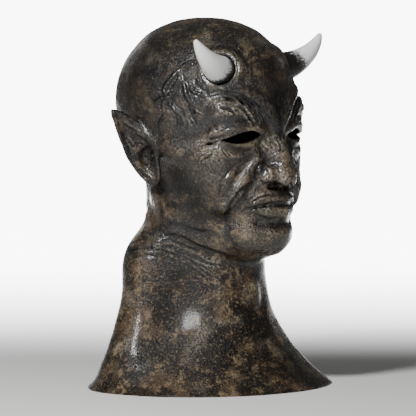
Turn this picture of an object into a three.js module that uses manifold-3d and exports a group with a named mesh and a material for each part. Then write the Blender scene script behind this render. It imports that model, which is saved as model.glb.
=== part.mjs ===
// A full-head devil mask: a hollow latex skin with a bib, eye slits and pointed ears, and two cast horns
// that stand in sockets on the forehead. Millimetres, +Z up, and the face looks along -Y. The origin is
// the centre of the bib's cut rim, on the surface that the mask stands on. The head is modelled as a
// distance field, as a sculptor adds and carves clay, and a surface net turns the field into a mesh.
import * as THREE from "three";
import { mergeVertices } from "three/addons/utils/BufferGeometryUtils.js";
import Module from "manifold-3d";

// Driving dimensions, in millimetres.
const WALL = 3; // latex
const RIM = { halfWidth: 132, halfDepth: 113 }; // the bib's cut edge
const BIB_HEIGHT = 118; // where the neck starts to flare
const FLARE = 2.2; // how sharply it does
const NECK = { halfWidth: 56, halfDepth: 57 };
const EYE = { at: [41, -80, 252.5], width: 42, turn: 29, droop: 5 }; // one slit; degrees
const EYE_HANDLES = [[-16, 13], [-1, -11]]; // of its upper and lower edge, from its middle
const HORN_ROOT = 15.5; // radius
const HORN_TIP = 1.6; // radius
const HORN_TAPER = 0.75; // below 1 the horn stays stout and thins near its tip
const HORN_GAP = 0.3; // between a horn's root and its socket
const EAR_AT = [70, 8, 230]; // the bowl's centre
const EAR_TURN = 29; // degrees that the ear stands off the head
const EAR_SHEET = 4.2; // the ear's thickness
const NET_STEP = 4.4; // the grid that the skin's surface is found on
const EAR_STEP = 3.2;
const FACE_STEP = 2.6;
const LINING_STEP = 6.5;
const GRID = { side: RIM.halfWidth + 14, front: RIM.halfDepth + 15, top: 376 }; // where the grids end
const SKIN_TRIANGLES = 6300;
const LINING_TRIANGLES = 1500;

const { abs, cos, exp, max, min, sin, sqrt } = Math;
const { clamp, degToRad, lerp } = THREE.MathUtils;
const length = (x, y, z) => sqrt(x * x + y * y + z * z);

// Fields: f(x, y, z) is the distance to a form, negative inside it.

const softMin = (a, b, k) => {
  const h = max(k - abs(a - b), 0) / k;
  return min(a, b) - (h * h * k) / 4;
};

// A form this far away no longer touches a fillet, so it needs no exact distance.
const OUT_OF_REACH = 30;
const THICKEST_ROLL = 11;

// Adds a form to a body, with a fillet of about k.
const add = (body, k, form) => (x, y, z) => softMin(body(x, y, z), form(x, y, z), k);

// Carves a form out of a body, with edges rounded by about k.
const carve = (body, k, form) => (x, y, z) => -softMin(-body(x, y, z), form(x, y, z), k);

// The same form on both sides of the face.
const both = (form) => (x, y, z) => form(abs(x), y, z);

const egg = (at, half) => (x, y, z) => {
  const qx = (x - at[0]) / half[0];
  const qy = (y - at[1]) / half[1];
  const qz = (z - at[2]) / half[2];
  const k = length(qx, qy, qz);
  return (k * (k - 1)) / max(length(qx / half[0], qy / half[1], qz / half[2]), 1e-6);
};

const bone = (a, b, ra, rb) => {
  const d = [b[0] - a[0], b[1] - a[1], b[2] - a[2]];
  const dd = d[0] * d[0] + d[1] * d[1] + d[2] * d[2];
  return (x, y, z) => {
    const px = x - a[0];
    const py = y - a[1];
    const pz = z - a[2];
    const t = clamp((px * d[0] + py * d[1] + pz * d[2]) / dd, 0, 1);
    return length(px - d[0] * t, py - d[1] * t, pz - d[2] * t) - lerp(ra, rb, t);
  };
};

// A smooth curve through rows of numbers, with steps points for each row.
function smoothRows(rows, steps) {
  const at = (i) => rows[clamp(i, 0, rows.length - 1)];
  const out = [];
  for (let i = 0; i + 1 < rows.length; i++) {
    for (let s = 0; s < steps; s++) {
      const t = s / steps;
      out.push(
        at(i).map((v, c) => {
          const [p0, p2, p3] = [at(i - 1)[c], at(i + 1)[c], at(i + 2)[c]];
          return v + 0.5 * t * (p2 - p0 + t * (2 * p0 - 5 * v + 4 * p2 - p3 + t * (3 * (v - p2) + p3 - p0)));
        }),
      );
    }
  }
  return [...out, at(rows.length - 1)];
}

// A roll of clay through rows of x, y, z and radius.
function roll(rows, steps = 3) {
  const path = smoothRows(rows, steps);
  const bones = path.slice(1).map((b, i) => bone(path[i], b, path[i][3], b[3]));
  const box = new THREE.Box3().setFromPoints(path.map((p) => new THREE.Vector3(...p)));
  const ball = box.getBoundingSphere(new THREE.Sphere());
  const { x: cx, y: cy, z: cz } = ball.center;
  return (x, y, z) => {
    const far = length(x - cx, y - cy, z - cz) - ball.radius;
    if (far > OUT_OF_REACH) return far - THICKEST_ROLL;
    return bones.reduce((d, f) => min(d, f(x, y, z)), Infinity);
  };
}

// Lays rows of x, z and radius on the front of the face, sunk into it by sink.
const laid = (body, rows, sink = 0) =>
  rows.map(([x, z, radius]) => {
    let [front, back] = [-GRID.front, -GRID.front];
    while (body(x, back, z) > 0) [front, back] = [back, back + 1];
    for (let i = 0; i < 8; i++) {
      const y = (front + back) / 2;
      if (body(x, y, z) > 0) front = y;
      else back = y;
    }
    return [x, back + sink, z, radius];
  });

// The big forms: skull, face, jaw, neck and bib.

function neckAndBib(x, y, z) {
  const down = clamp((BIB_HEIGHT - z) / BIB_HEIGHT, 0, 1.1);
  const a = lerp(NECK.halfWidth, RIM.halfWidth, down ** FLARE);
  const b = lerp(NECK.halfDepth, RIM.halfDepth, down ** FLARE);
  const slope = ((RIM.halfDepth - NECK.halfDepth) * FLARE * down ** (FLARE - 1)) / BIB_HEIGHT;
  const lean = 3 * clamp(z / 120, 0, 1) + 10 * clamp((z - 120) / 90, 0, 1);
  const shell = ((length(x / a, (y - lean) / b, 0) - 1) * min(a, b)) / length(1, slope, 0);
  return -softMin(-shell, 225 - z, 12);
}

function bigForms() {
  let body = egg([0, 19, 284], [77.5, 85, 82.5]); // back of the skull
  body = add(body, 22, egg([0, -20, 282], [68, 72, 80])); // forehead
  body = add(body, 22, egg([0, -30, 218], [62, 60, 74])); // face
  body = add(body, 16, both(egg([40, -30, 204], [28, 40, 36])));
  body = add(body, 16, both(bone([16, -64, 153], [47, -6, 170], 19, 18))); // jaw
  body = add(body, 10, egg([0, -66, 158], [34.5, 31.5, 26])); // chin
  body = add(body, 14, neckAndBib);
  const [nape, shoulder, hem] = [[14, 28, 171], [54, 27, 124], [90, 22, 22]];
  body = add(body, 30, both(bone(nape, shoulder, 12, 22)));
  return add(body, 34, both(bone(shoulder, hem, 22, 28)));
}

function cheeksAndMuzzle(start) {
  let body = add(start, 12, both(egg([46, -52, 230], [20, 20, 17])));
  body = add(body, 14, both(egg([38, -54, 205], [20, 20, 24])));
  body = add(body, 18, both(bone([58, -40, 234], [69, -4, 240], 3.5, 2.5))); // cheekbone, to the ear
  body = carve(body, 18, both(egg([91, -44, 264], [17, 28, 24]))); // temple
  body = carve(body, 16, both(egg([77, -60, 198], [12, 28, 20])));
  return add(body, 12, egg([0, -62, 187], [34, 38, 27])); // muzzle
}

function browsAndEyes(start) {
  let body = carve(start, 12, both(egg([37, -102, 253], [22, 24, 11])));
  body = carve(body, 8, both(egg([19, -100, 255], [8, 16, 10])));
  body = add(body, 10, egg([0, -76, 272], [20, 16, 18])); // between the brows
  body = add(body, 9, both(egg([38, -61, 277], [25, 20, 17]))); // the brow's swollen hood
  const frown = [[5, 264, 3], [10, 275, 5], [18, 286.5, 6.5], [33, 295, 6], [50, 297, 2.5]];
  body = add(body, 7, both(roll(laid(body, frown, 2))));
  body = add(body, 6, both(egg([48, -62, 283], [12, 10, 8]))); // a knot under the brow's arch
  const hoodInside = [[15, -86, 257, 3.2], [24, -84.5, 260.5, 4.2], [36, -80, 261.5, 4.6]];
  const hoodOutside = [[50, -72, 261, 4.6], [61, -58, 256, 3]];
  body = add(body, 8, both(roll([...hoodInside, ...hoodOutside])));
  body = add(body, 5, both(egg([37, -66, 253], [19, 16, 12]))); // eyeball
  const corner = [57, -61, 249, 1.6];
  const lowerLid = [[19, -82, 251, 2], [28, -83, 246.5, 2.4], [39, -80.5, 245, 2.6], [49, -72, 246, 2.4]];
  body = add(body, 3, both(roll([...lowerLid, corner])));
  const bag = [[24, 241, 3], [34, 236, 4.5], [47, 236, 4.5], [57, 242, 3]];
  body = add(body, 6, both(roll(laid(body, bag, 2))));
  const arch = [[12, 262, 0.6], [17, 271, 1.2], [28, 282, 1.4], [40, 289, 1.6], [50, 290.5, 0.6]];
  return carve(body, 5, both(roll(laid(body, arch))));
}

function nose(start) {
  let form = roll([[0, -80, 267, 8.5], [0, -84, 253, 8.5], [0, -94, 232, 9.2], [0, -98, 219, 10.2]]);
  form = add(form, 9, egg([0, -79, 224], [18, 20, 25]));
  form = add(form, 6, both(egg([15.5, -87.5, 215.5], [9.5, 12.5, 10]))); // wings
  form = add(form, 5, both(egg([3.5, -102.5, 211.5], [7.5, 8, 8.5]))); // tip
  let body = add(start, 6, form);
  body = carve(body, 3, both(egg([8.5, -94, 203.5], [6.5, 9, 4]))); // nostrils
  const wing = laid(body, [[9, 229, 0.8], [16, 232, 1.4], [23, 227, 2], [26, 216, 2]]);
  return carve(body, 4, both(roll(wing)));
}

function mouth(start) {
  const fold = [[25, 230, 3], [32, 218, 5.5], [41, 203, 6], [47, 186, 4]];
  const foldInside = [[24, 217, 1.2], [31, 205, 1.8], [39, 192, 2], [44, 178, 1.6], [45, 162, 0.6]];
  const foldOutside = [[31, 233, 0.5], [40, 222, 1], [50, 207, 1.2], [55, 193, 0.4]];
  let body = add(start, 12, both(roll(laid(start, fold, 4.5))));
  body = carve(body, 5, both(roll(laid(body, foldInside))));
  body = carve(body, 8, both(roll(laid(body, foldOutside))));
  const upperLip = [[29, -78, 185, 1.8], [19, -89.5, 189.5, 2.4], [8, -98.5, 191.5, 2.8], [0, -100, 190.5, 2.6]];
  const lowerLip = [[26, -78.5, 180.5, 2.6], [15, -89.5, 179.5, 5.6], [0, -97, 179, 6.6]];
  const line = [[31, -78.5, 182, 1], [20, -91.5, 186, 1.5], [9, -100.3, 187.5, 1.8], [0, -102.5, 186.8, 1.8]];
  body = add(body, 3.5, both(roll(upperLip)));
  body = add(body, 4, both(roll(lowerLip)));
  body = carve(body, 3, both(roll(line)));
  body = carve(body, 5, egg([0, -107, 202], [3.6, 8, 6])); // under the nose
  return carve(body, 9, both(roll(laid(body, [[24, 168, 0.3], [12, 167, 0.6], [0, 167, 0.8]], -1.6))));
}

function throat(start) {
  let body = add(start, 14, both(bone([52, 20, 192], [13, -56, 52], 8, 6)));
  body = add(body, 10, egg([0, -53, 94], [9, 8, 12]));
  const jawAngle = [[63, 4, 160, -4], [55, -12, 154.5, 3.2]]; // the fold fades in under the skin
  const underChin = [[44, -30, 149, 5.5], [23, -55, 139, 5], [0, -61, 134, 4]];
  return add(body, 9, both(roll([...jawAngle, ...underChin])));
}

// An ear is a bent leaf with a rolled edge. Its own frame runs back (u), up (w) and out (t).
function earFrame() {
  const back = new THREE.Vector3(sin(degToRad(EAR_TURN)), cos(degToRad(EAR_TURN)), 0);
  const up = new THREE.Vector3(0, 0.1, 1).normalize();
  const out = new THREE.Vector3().crossVectors(back, up).normalize();
  return { back, up, out: out.x < 0 ? out.negate() : out };
}

// Distance to a closed outline in a plane, negative inside it.
function outlineField(points) {
  return (u, w) => {
    let [best, inside] = [Infinity, false];
    points.forEach(([ax, ay], i) => {
      const [bx, by] = points[(i + 1) % points.length];
      const [ex, ey] = [bx - ax, by - ay];
      const t = clamp(((u - ax) * ex + (w - ay) * ey) / (ex * ex + ey * ey), 0, 1);
      best = min(best, (u - lerp(ax, bx, t)) ** 2 + (w - lerp(ay, by, t)) ** 2);
      if (ay > w !== by > w && u < ax + ((w - ay) / (by - ay)) * (bx - ax)) inside = !inside;
    });
    return inside ? -sqrt(best) : sqrt(best);
  };
}

function ear() {
  const { back, up, out } = earFrame();
  const [bowlTop, tip, lobe] = [[2, 24], [44, 51], [3, -27]];
  const topEdge = [bowlTop, [12, 31.5], [19, 36], [33, 46.5], tip];
  const backEdge = [[41, 36], [37, 22], [30, 3], [22, -10], [12, -21], lobe, [-4, -23], [-3, -8]];
  const flat = outlineField(smoothRows([...topEdge, ...backEdge, bowlTop], 2).slice(0, -1));
  const ridgeLine = [[2, 18, 2, 2.2], [14, 20, 1, 2.6], [20, 6, 1, 2.8], [16, -10, 1, 2.6], [6, -19, 2, 2.4]];
  const ridge = roll(ridgeLine);
  const frontFlap = egg([-3, -3, 4], [4, 7, 5]);
  const earLength = 60;
  return (x, y, z) => {
    const [px, py, pz] = [x - EAR_AT[0], y - EAR_AT[1], z - EAR_AT[2]];
    const far = length(px, py - 20, pz - 10) - earLength;
    if (far > OUT_OF_REACH) return far;
    const u = px * back.x + py * back.y;
    const w = px * up.x + py * up.y + pz * up.z;
    const bowl = 5 * exp(-(((u - 8) / 9) ** 2) - (w / 13) ** 2);
    const bend = 0.01 * (u - 14) ** 2 + 0.0011 * w * w - 3 - bowl;
    const t = px * out.x + py * out.y + pz * out.z - bend;
    const edge = flat(u, w);
    const leaf = -softMin(-edge, EAR_SHEET / 2 - abs(t), 2.5);
    const rim = length(edge + 2.8, t - 1.8, 0) - 3.3;
    return softMin(softMin(softMin(leaf, rim, 2.5), ridge(u, w, t), 3), frontFlap(u, w, t), 3);
  };
}

// A horn's line, from its socket to its tip, and the way its socket points.
const HORN_LINE = new THREE.CubicBezierCurve3(
  new THREE.Vector3(44, -54, 318),
  new THREE.Vector3(58, -62, 321),
  new THREE.Vector3(80, -66, 331),
  new THREE.Vector3(91.5, -64.5, 350.5),
);
const HORN_AXIS = new THREE.Vector3(0.8, -0.52, 0.3).normalize();

// Height along a horn's axis above its root, and distance from that axis.
function aboutHorn(form) {
  const { x: cx, y: cy, z: cz } = HORN_LINE.v0;
  return (x, y, z) => {
    const [px, py, pz] = [x - cx, y - cy, z - cz];
    const h = px * HORN_AXIS.x + py * HORN_AXIS.y + pz * HORN_AXIS.z;
    return form(sqrt(max(px * px + py * py + pz * pz - h * h, 0)), h);
  };
}

// The skin rises in two rolls round each horn.
function collars(start) {
  const ring = (radius, height, thick) =>
    both(aboutHorn((r, h) => length(r - HORN_ROOT - radius, h - height, 0) - thick));
  return add(add(start, 6, ring(2.9, 1.2, 2.9)), 3, ring(6.8, -1.5, 2));
}

// Meshing.

// Grid lines between stops: each stop holds a place and the step that follows it.
function gridLines(stops) {
  return stops.flatMap(([at, step], i) => {
    if (i + 1 === stops.length) return [at];
    const span = stops[i + 1][0] - at;
    const n = max(1, Math.round(span / step));
    return Array.from({ length: n }, (_, k) => at + (span * k) / n);
  });
}

// Splits each grid cell into six tetrahedra and cuts each one where the field changes sign, which
// always gives a closed surface.
function surfaceOf(field, [xs, ys, zs]) {
  const [nx, ny, nz] = [xs.length, ys.length, zs.length];
  const value = new Float64Array(nx * ny * nz);
  const node = (i, j, k) => (i * ny + j) * nz + k;
  xs.forEach((x, i) => ys.forEach((y, j) => zs.forEach((z, k) => (value[node(i, j, k)] = field(x, y, z)))));
  const place = (n) => [xs[Math.floor(n / (ny * nz))], ys[Math.floor(n / nz) % ny], zs[n % nz]];
  const paths = [[1, 3], [1, 5], [2, 3], [2, 6], [4, 5], [4, 6]]; // each from corner 0 to corner 7
  const cuts = new Map();
  const points = [];
  const triangles = [];
  const cut = (a, b) => {
    const key = min(a, b) * value.length + max(a, b);
    if (!cuts.has(key)) {
      const t = value[a] / (value[a] - value[b]);
      const [from, to] = [place(a), place(b)];
      cuts.set(key, points.push(from.map((v, c) => lerp(v, to[c], t))) - 1);
    }
    return cuts.get(key);
  };
  for (let i = 0; i + 1 < nx; i++)
    for (let j = 0; j + 1 < ny; j++)
      for (let k = 0; k + 1 < nz; k++) {
        const corner = (_, c) => node(i + (c & 1), j + ((c >> 1) & 1), k + (c >> 2));
        const corners = Array.from({ length: 8 }, corner);
        const below = corners.filter((n) => value[n] < 0).length;
        if (below === 0 || below === 8) continue;
        for (const path of paths) {
          const tet = [0, ...path, 7].sort((a, b) => (value[corners[b]] < 0) - (value[corners[a]] < 0));
          const inside = tet.filter((c) => value[corners[c]] < 0).length;
          if (inside === 0 || inside === 4) continue;
          const [a, b, c, d] = tet.map((n) => corners[n]);
          const ring =
            inside === 1 ? [cut(a, b), cut(a, c), cut(a, d)]
            : inside === 2 ? [cut(a, c), cut(a, d), cut(b, d), cut(b, c)]
            : [cut(a, d), cut(b, d), cut(c, d)];
          if (turn(tet) < 0) ring.reverse();
          for (let n = 2; n < ring.length; n++) triangles.push([ring[0], ring[n - 1], ring[n]]);
        }
      }
  return { points, triangles };
}

// Positive if a tetrahedron's last three corners turn anticlockwise, seen from outside it.
function turn(tet) {
  const [a, b, c, d] = tet.map((n) => new THREE.Vector3(n & 1, (n >> 1) & 1, n >> 2));
  return b.sub(a).cross(c.sub(a)).dot(d.sub(a));
}

// Slides each point to the middle of its neighbours and puts it back on the surface.
function settle(field, { points, triangles }, rounds = 2) {
  const near = points.map(() => new Set());
  for (const t of triangles) t.forEach((a, i) => near[a].add(t[(i + 1) % 3]).add(t[(i + 2) % 3]));
  const h = 0.5;
  const onSurface = ([x, y, z]) => {
    const g = [
      (field(x + h, y, z) - field(x - h, y, z)) / (2 * h),
      (field(x, y + h, z) - field(x, y - h, z)) / (2 * h),
      (field(x, y, z + h) - field(x, y, z - h)) / (2 * h),
    ];
    const step = clamp(field(x, y, z) / max(g[0] ** 2 + g[1] ** 2 + g[2] ** 2, 0.05), -2, 2);
    return [x - g[0] * step, y - g[1] * step, z - g[2] * step];
  };
  let now = points;
  for (let r = 0; r < rounds; r++) {
    const last = now;
    now = last.map((p, i) => {
      const mean = [0, 0, 0];
      near[i].forEach((n) => last[n].forEach((v, c) => (mean[c] += v / near[i].size)));
      return onSurface(p.map((v, c) => (v + mean[c]) / 2));
    });
  }
  return { points: now.map(onSurface), triangles };
}

// Merges points until few triangles are left, the ones that change the shape least first. Each point
// keeps the sum of the squared distances to the planes it has stood for, as ten numbers.
function thin({ points, triangles }, wanted) {
  const normal = ([a, b, c]) => {
    const [p, q, r] = [points[a], points[b], points[c]];
    const u = q.map((v, i) => v - p[i]);
    const w = r.map((v, i) => v - p[i]);
    return [u[1] * w[2] - u[2] * w[1], u[2] * w[0] - u[0] * w[2], u[0] * w[1] - u[1] * w[0]];
  };
  const planes = points.map(() => new Float64Array(10));
  const corners = points.map(() => new Set());
  const faces = triangles.map((t) => [...t]);
  faces.forEach((t, f) => {
    const n = normal(t);
    const area = length(...n);
    const [a, b, c] = n.map((v) => v / max(area, 1e-12));
    const d = -(a * points[t[0]][0] + b * points[t[0]][1] + c * points[t[0]][2]);
    const q = [a * a, a * b, a * c, a * d, b * b, b * c, b * d, c * c, c * d, d * d];
    t.forEach((v) => {
      corners[v].add(f);
      q.forEach((value, i) => (planes[v][i] += value * area));
    });
  });
  const error = (q, [x, y, z]) =>
    q[0] * x * x + 2 * q[1] * x * y + 2 * q[2] * x * z + 2 * q[3] * x + q[4] * y * y + 2 * q[5] * y * z +
    2 * q[6] * y + q[7] * z * z + 2 * q[8] * z + q[9];
  const ringOf = (v) => new Set([...corners[v]].flatMap((f) => faces[f]).filter((n) => n !== v));
  let left = faces.length;
  while (left > wanted) {
    const moves = [];
    corners.forEach((mine, v) => {
      if (!mine.size) return;
      let best = null;
      ringOf(v).forEach((to) => {
        const gap = length(...points[v].map((c, i) => c - points[to][i]));
        const cost = error(planes[v], points[to]) + 0.002 * gap ** 3;
        if (!best || cost < best.cost) best = { v, to, cost };
      });
      moves.push(best);
    });
    moves.sort((a, b) => a.cost - b.cost);
    const touched = new Set();
    const before = left;
    for (const { v, to } of moves.slice(0, Math.ceil(moves.length / 4))) {
      if (left <= wanted) break;
      const ring = ringOf(v);
      if (touched.has(v) || [...ring].some((n) => touched.has(n))) continue;
      const other = ringOf(to);
      if ([...ring].filter((n) => other.has(n)).length !== 2) continue;
      const moving = [...corners[v]].filter((f) => !faces[f].includes(to));
      const turned = moving.some((f) => {
        const [old, now] = [normal(faces[f]), normal(faces[f].map((n) => (n === v ? to : n)))];
        const dot = old[0] * now[0] + old[1] * now[1] + old[2] * now[2];
        return dot < 0.3 * length(...old) * length(...now);
      });
      if (turned) continue;
      for (const f of [...corners[v]]) {
        corners[v].delete(f);
        if (faces[f].includes(to)) {
          faces[f].forEach((n) => corners[n].delete(f));
          faces[f] = null;
          left--;
        } else {
          faces[f] = faces[f].map((n) => (n === v ? to : n));
          corners[to].add(f);
        }
      }
      planes[v].forEach((q, i) => (planes[to][i] += q));
      ring.forEach((n) => touched.add(n));
    }
    if (left === before) break;
  }
  return { points, triangles: faces.filter(Boolean) };
}

function geometryOf({ points, triangles }) {
  const geometry = new THREE.BufferGeometry();
  geometry.setAttribute("position", new THREE.Float32BufferAttribute(points.flat(), 3));
  return geometry.setIndex(triangles.flat());
}

// Booleans.
const wasm = await Module();
wasm.setup();

function solidOf(geometry) {
  const bare = geometry.clone();
  bare.deleteAttribute("normal");
  bare.deleteAttribute("uv");
  const merged = mergeVertices(bare, 1e-4);
  return new wasm.Manifold(
    new wasm.Mesh({
      numProp: 3,
      vertProperties: merged.attributes.position.array,
      triVerts: new Uint32Array(merged.index.array),
    }),
  );
}

function geometryOfSolid(solid) {
  const { vertProperties, triVerts } = solid.getMesh();
  const geometry = new THREE.BufferGeometry();
  geometry.setAttribute("position", new THREE.BufferAttribute(vertProperties, 3));
  return geometry.setIndex(new THREE.BufferAttribute(triVerts, 1));
}

const mirrorX = (solid) => {
  const geometry = geometryOfSolid(solid).scale(-1, 1, 1);
  const index = geometry.index.array;
  for (let i = 0; i < index.length; i += 3) [index[i], index[i + 1]] = [index[i + 1], index[i]];
  return solidOf(geometry);
};

// An almond cut through the wall, along the way the eye looks.
function eyeSlit() {
  const half = EYE.width / 2;
  const [above, below] = EYE_HANDLES;
  const almond = new THREE.Shape().moveTo(-half, 0).quadraticCurveTo(...below, half, 0);
  almond.quadraticCurveTo(...above, -half, 0);
  const [before, depth] = [14, 40];
  const geometry = new THREE.ExtrudeGeometry(almond, { depth, bevelEnabled: false, curveSegments: 5 });
  geometry.translate(0, 0, before - depth).rotateZ(-degToRad(EYE.droop));
  return solidOf(geometry.rotateX(Math.PI / 2).rotateZ(degToRad(EYE.turn)).translate(...EYE.at));
}

function socket() {
  const [deep, sides] = [30, 28];
  const hole = new THREE.CylinderGeometry(HORN_ROOT + HORN_GAP, HORN_ROOT + HORN_GAP, deep, sides);
  hole.translate(0, deep / 2 - HORN_GAP, 0);
  hole.applyQuaternion(new THREE.Quaternion().setFromUnitVectors(new THREE.Vector3(0, 1, 0), HORN_AXIS));
  return solidOf(hole.translate(...HORN_LINE.v0.toArray()));
}

function skinSolid() {
  const face = throat(mouth(nose(browsAndEyes(cheeksAndMuzzle(bigForms())))));
  const whole = add(collars(face), 5, both(ear()));
  const standing = (x, y, z) => max(whole(x, y, z), -z - NET_STEP);
  const { side, front, top } = GRID;
  const earToEar = [[-104, EAR_STEP], [-62, FACE_STEP], [62, EAR_STEP], [104, NET_STEP]];
  const outer = surfaceOf(standing, [
    gridLines([[-side, NET_STEP], ...earToEar, [side, 0]]),
    gridLines([[-front, NET_STEP], [-114, FACE_STEP], [-58, EAR_STEP], [62, NET_STEP], [front, 0]]),
    gridLines([[-2 * NET_STEP, NET_STEP], [128, FACE_STEP], [302, NET_STEP], [top, 0]]),
  ]);
  const backing = both(aboutHorn((r, h) => max(r - HORN_ROOT - 2 * WALL, abs(h) - HORN_GAP - WALL)));
  const hollow = carve((x, y, z) => face(x, y, z) + WALL, WALL, backing);
  const lining = (x, y, z) => max(hollow(x, y, z), -z - LINING_STEP);
  const even = (a, b) => gridLines([[a, LINING_STEP], [b, LINING_STEP]]);
  const inner = surfaceOf(lining, [even(-side, side), even(-front, front), even(-2 * LINING_STEP, top)]);
  const parts = [
    thin(settle(standing, outer), SKIN_TRIANGLES),
    thin(settle(lining, inner), LINING_TRIANGLES),
  ].map((mesh) => solidOf(geometryOf(mesh)));
  const floorDepth = 100;
  const floor = new THREE.BoxGeometry(3 * side, 3 * side, floorDepth).translate(0, 0, -floorDepth / 2);
  let solid = parts[0].subtract(parts[1]).subtract(solidOf(floor));
  for (const cut of [eyeSlit(), socket()]) solid = solid.subtract(cut).subtract(mirrorX(cut));
  return solid;
}

// A horn: rings along its line, thinning to a blunt tip.
function hornSolid() {
  const [rings, sides] = [15, 20];
  const side = new THREE.Vector3().crossVectors(HORN_AXIS, new THREE.Vector3(0, 0, 1)).normalize();
  const points = [HORN_LINE.v0.toArray()];
  for (let i = 0; i <= rings; i++) {
    const t = i / rings;
    const centre = HORN_LINE.getPoint(t);
    const along = i ? HORN_LINE.getTangent(t) : HORN_AXIS;
    const across = side.clone().addScaledVector(along, -side.dot(along)).normalize();
    const over = new THREE.Vector3().crossVectors(along, across);
    const radius = HORN_ROOT * (1 - t) ** HORN_TAPER + HORN_TIP * t;
    for (let s = 0; s < sides; s++) {
      const a = (2 * Math.PI * s) / sides;
      const spoke = across.clone().multiplyScalar(cos(a)).addScaledVector(over, sin(a));
      points.push(spoke.multiplyScalar(radius).add(centre).toArray());
    }
  }
  points.push(HORN_LINE.getPoint(1).addScaledVector(HORN_LINE.getTangent(1), 1).toArray());
  const triangles = [];
  const on = (i, s) => 1 + i * sides + (s % sides);
  for (let s = 0; s < sides; s++) {
    triangles.push([0, on(0, s + 1), on(0, s)], [points.length - 1, on(rings, s), on(rings, s + 1)]);
    for (let i = 0; i < rings; i++)
      triangles.push([on(i, s), on(i, s + 1), on(i + 1, s)], [on(i, s + 1), on(i + 1, s + 1), on(i + 1, s)]);
  }
  return solidOf(geometryOf({ points, triangles }));
}

const latex = new THREE.MeshStandardMaterial({ color: 0x3a2e24, roughness: 0.45, metalness: 0 });
const hornPaint = new THREE.MeshStandardMaterial({ color: 0xd9dbd8, roughness: 0.4, metalness: 0 });

const mask = new THREE.Group();
function place(name, solid, material) {
  const mesh = new THREE.Mesh(geometryOfSolid(solid), material);
  mesh.name = name;
  mask.add(mesh);
}
const horn = hornSolid();
place("skin", skinSolid(), latex);
place("horn_left", horn, hornPaint);
place("horn_right", mirrorX(horn), hornPaint);

export default mask;
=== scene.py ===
# %% [markdown]
# # A devil mask in painted latex
#
# The real object is a full-head mask. It is one hollow skin of cast latex, about 3 mm thick, that pulls
# on over the head, and its neck spreads into a bib. Two cast horns stand in sockets on the forehead. The
# finish is a satin paint job: a near-black coat, brown and tan sponged over it and a grey glaze on the
# temples. Painted shade darkens the creases and painted highlights lie on the folds, laid like a dark wash
# and a dry brush.
#
# A sculptor makes such a mask as clay on a stand, then moulds and casts it. This lesson follows the same
# order: big forms, features, wrinkles, the hollow cast, paint, horns. The imported CAD model holds the
# place and size of everything, so it is loaded first.

# %% The frame
import bmesh
import bpy
import numpy as np
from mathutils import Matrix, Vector, noise


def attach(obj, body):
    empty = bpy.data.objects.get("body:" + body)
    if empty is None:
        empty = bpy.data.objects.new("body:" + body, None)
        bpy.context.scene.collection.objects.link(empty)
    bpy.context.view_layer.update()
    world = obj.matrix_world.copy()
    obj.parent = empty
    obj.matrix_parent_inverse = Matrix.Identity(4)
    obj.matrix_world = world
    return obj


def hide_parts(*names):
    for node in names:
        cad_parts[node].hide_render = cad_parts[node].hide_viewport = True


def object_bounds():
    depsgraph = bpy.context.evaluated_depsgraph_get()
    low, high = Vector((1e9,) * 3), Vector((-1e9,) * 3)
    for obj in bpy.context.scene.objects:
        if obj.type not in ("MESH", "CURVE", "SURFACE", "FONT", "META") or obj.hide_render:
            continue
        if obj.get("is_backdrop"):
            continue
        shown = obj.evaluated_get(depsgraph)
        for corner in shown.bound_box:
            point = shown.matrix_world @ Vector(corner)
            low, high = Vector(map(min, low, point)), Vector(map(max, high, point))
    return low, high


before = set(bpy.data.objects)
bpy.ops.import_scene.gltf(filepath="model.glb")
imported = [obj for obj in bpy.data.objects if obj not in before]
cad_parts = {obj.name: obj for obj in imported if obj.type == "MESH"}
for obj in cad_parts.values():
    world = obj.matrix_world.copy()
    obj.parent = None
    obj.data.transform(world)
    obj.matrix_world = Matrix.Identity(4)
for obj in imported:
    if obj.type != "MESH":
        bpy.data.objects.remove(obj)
cad_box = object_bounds()
MM = 0.001
print("frame", sorted(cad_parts), "box", cad_box)

# %% [markdown]
# ## Camera
#
# The mask faces -Y. The photograph looks at it from its right side, 47 degrees round from the front and
# a little above, through a long lens. The camera is placed by that azimuth and elevation round the
# mask's middle, and the lens is worked out from the width that the picture spans there.

# %% Camera
AZIMUTH, ELEVATION = -47, 4.5
DISTANCE, SPAN = 6000, 416
AIM = np.array([-1.9, 2.0, 177.0])

def direction(azimuth, elevation):
    a, e = np.radians(azimuth), np.radians(elevation)
    return np.array([np.sin(a) * np.cos(e), -np.cos(a) * np.cos(e), np.sin(e)])

BACK = direction(AZIMUTH, ELEVATION)
EYE_POINT = AIM + BACK * DISTANCE
camera_data = bpy.data.cameras.new("camera")
camera_data.sensor_width = 36
camera_data.lens = camera_data.sensor_width * DISTANCE / SPAN
camera = bpy.data.objects.new("camera", camera_data)
camera.location = EYE_POINT * MM
camera.rotation_euler = Vector(-BACK).to_track_quat("-Z", "Y").to_euler()
bpy.context.scene.collection.objects.link(camera)
bpy.context.scene.camera = camera
print("camera at", np.round(EYE_POINT * MM, 3), "lens", round(camera_data.lens, 1), "mm")

# %% [markdown]
# ## Virtual clay
#
# Clay is added and carved, and every joint between two forms is soft. A mesh makes such joints hard to
# get. A distance field gives them for nothing: it is a function that says how far a point is from a
# form, negative inside. The soft minimum of two fields is their union with a fillet, and with its signs
# turned it carves. All points are in millimetres, as three arrays, x, y and z, stacked in one.

# %% Clay tools
def size(*parts):
    return np.sqrt(sum(a * a for a in parts))

def soft_min(a, b, k):
    h = np.maximum(k - np.abs(a - b), 0) / k
    return np.minimum(a, b) - h * h * k / 4

def add(body, k, form):
    return lambda p: soft_min(body(p), form(p), k)

def carve(body, k, form):
    return lambda p: -soft_min(-body(p), form(p), k)

def both(form):
    return lambda p: form(np.stack([np.abs(p[0]), p[1], p[2]]))

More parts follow.
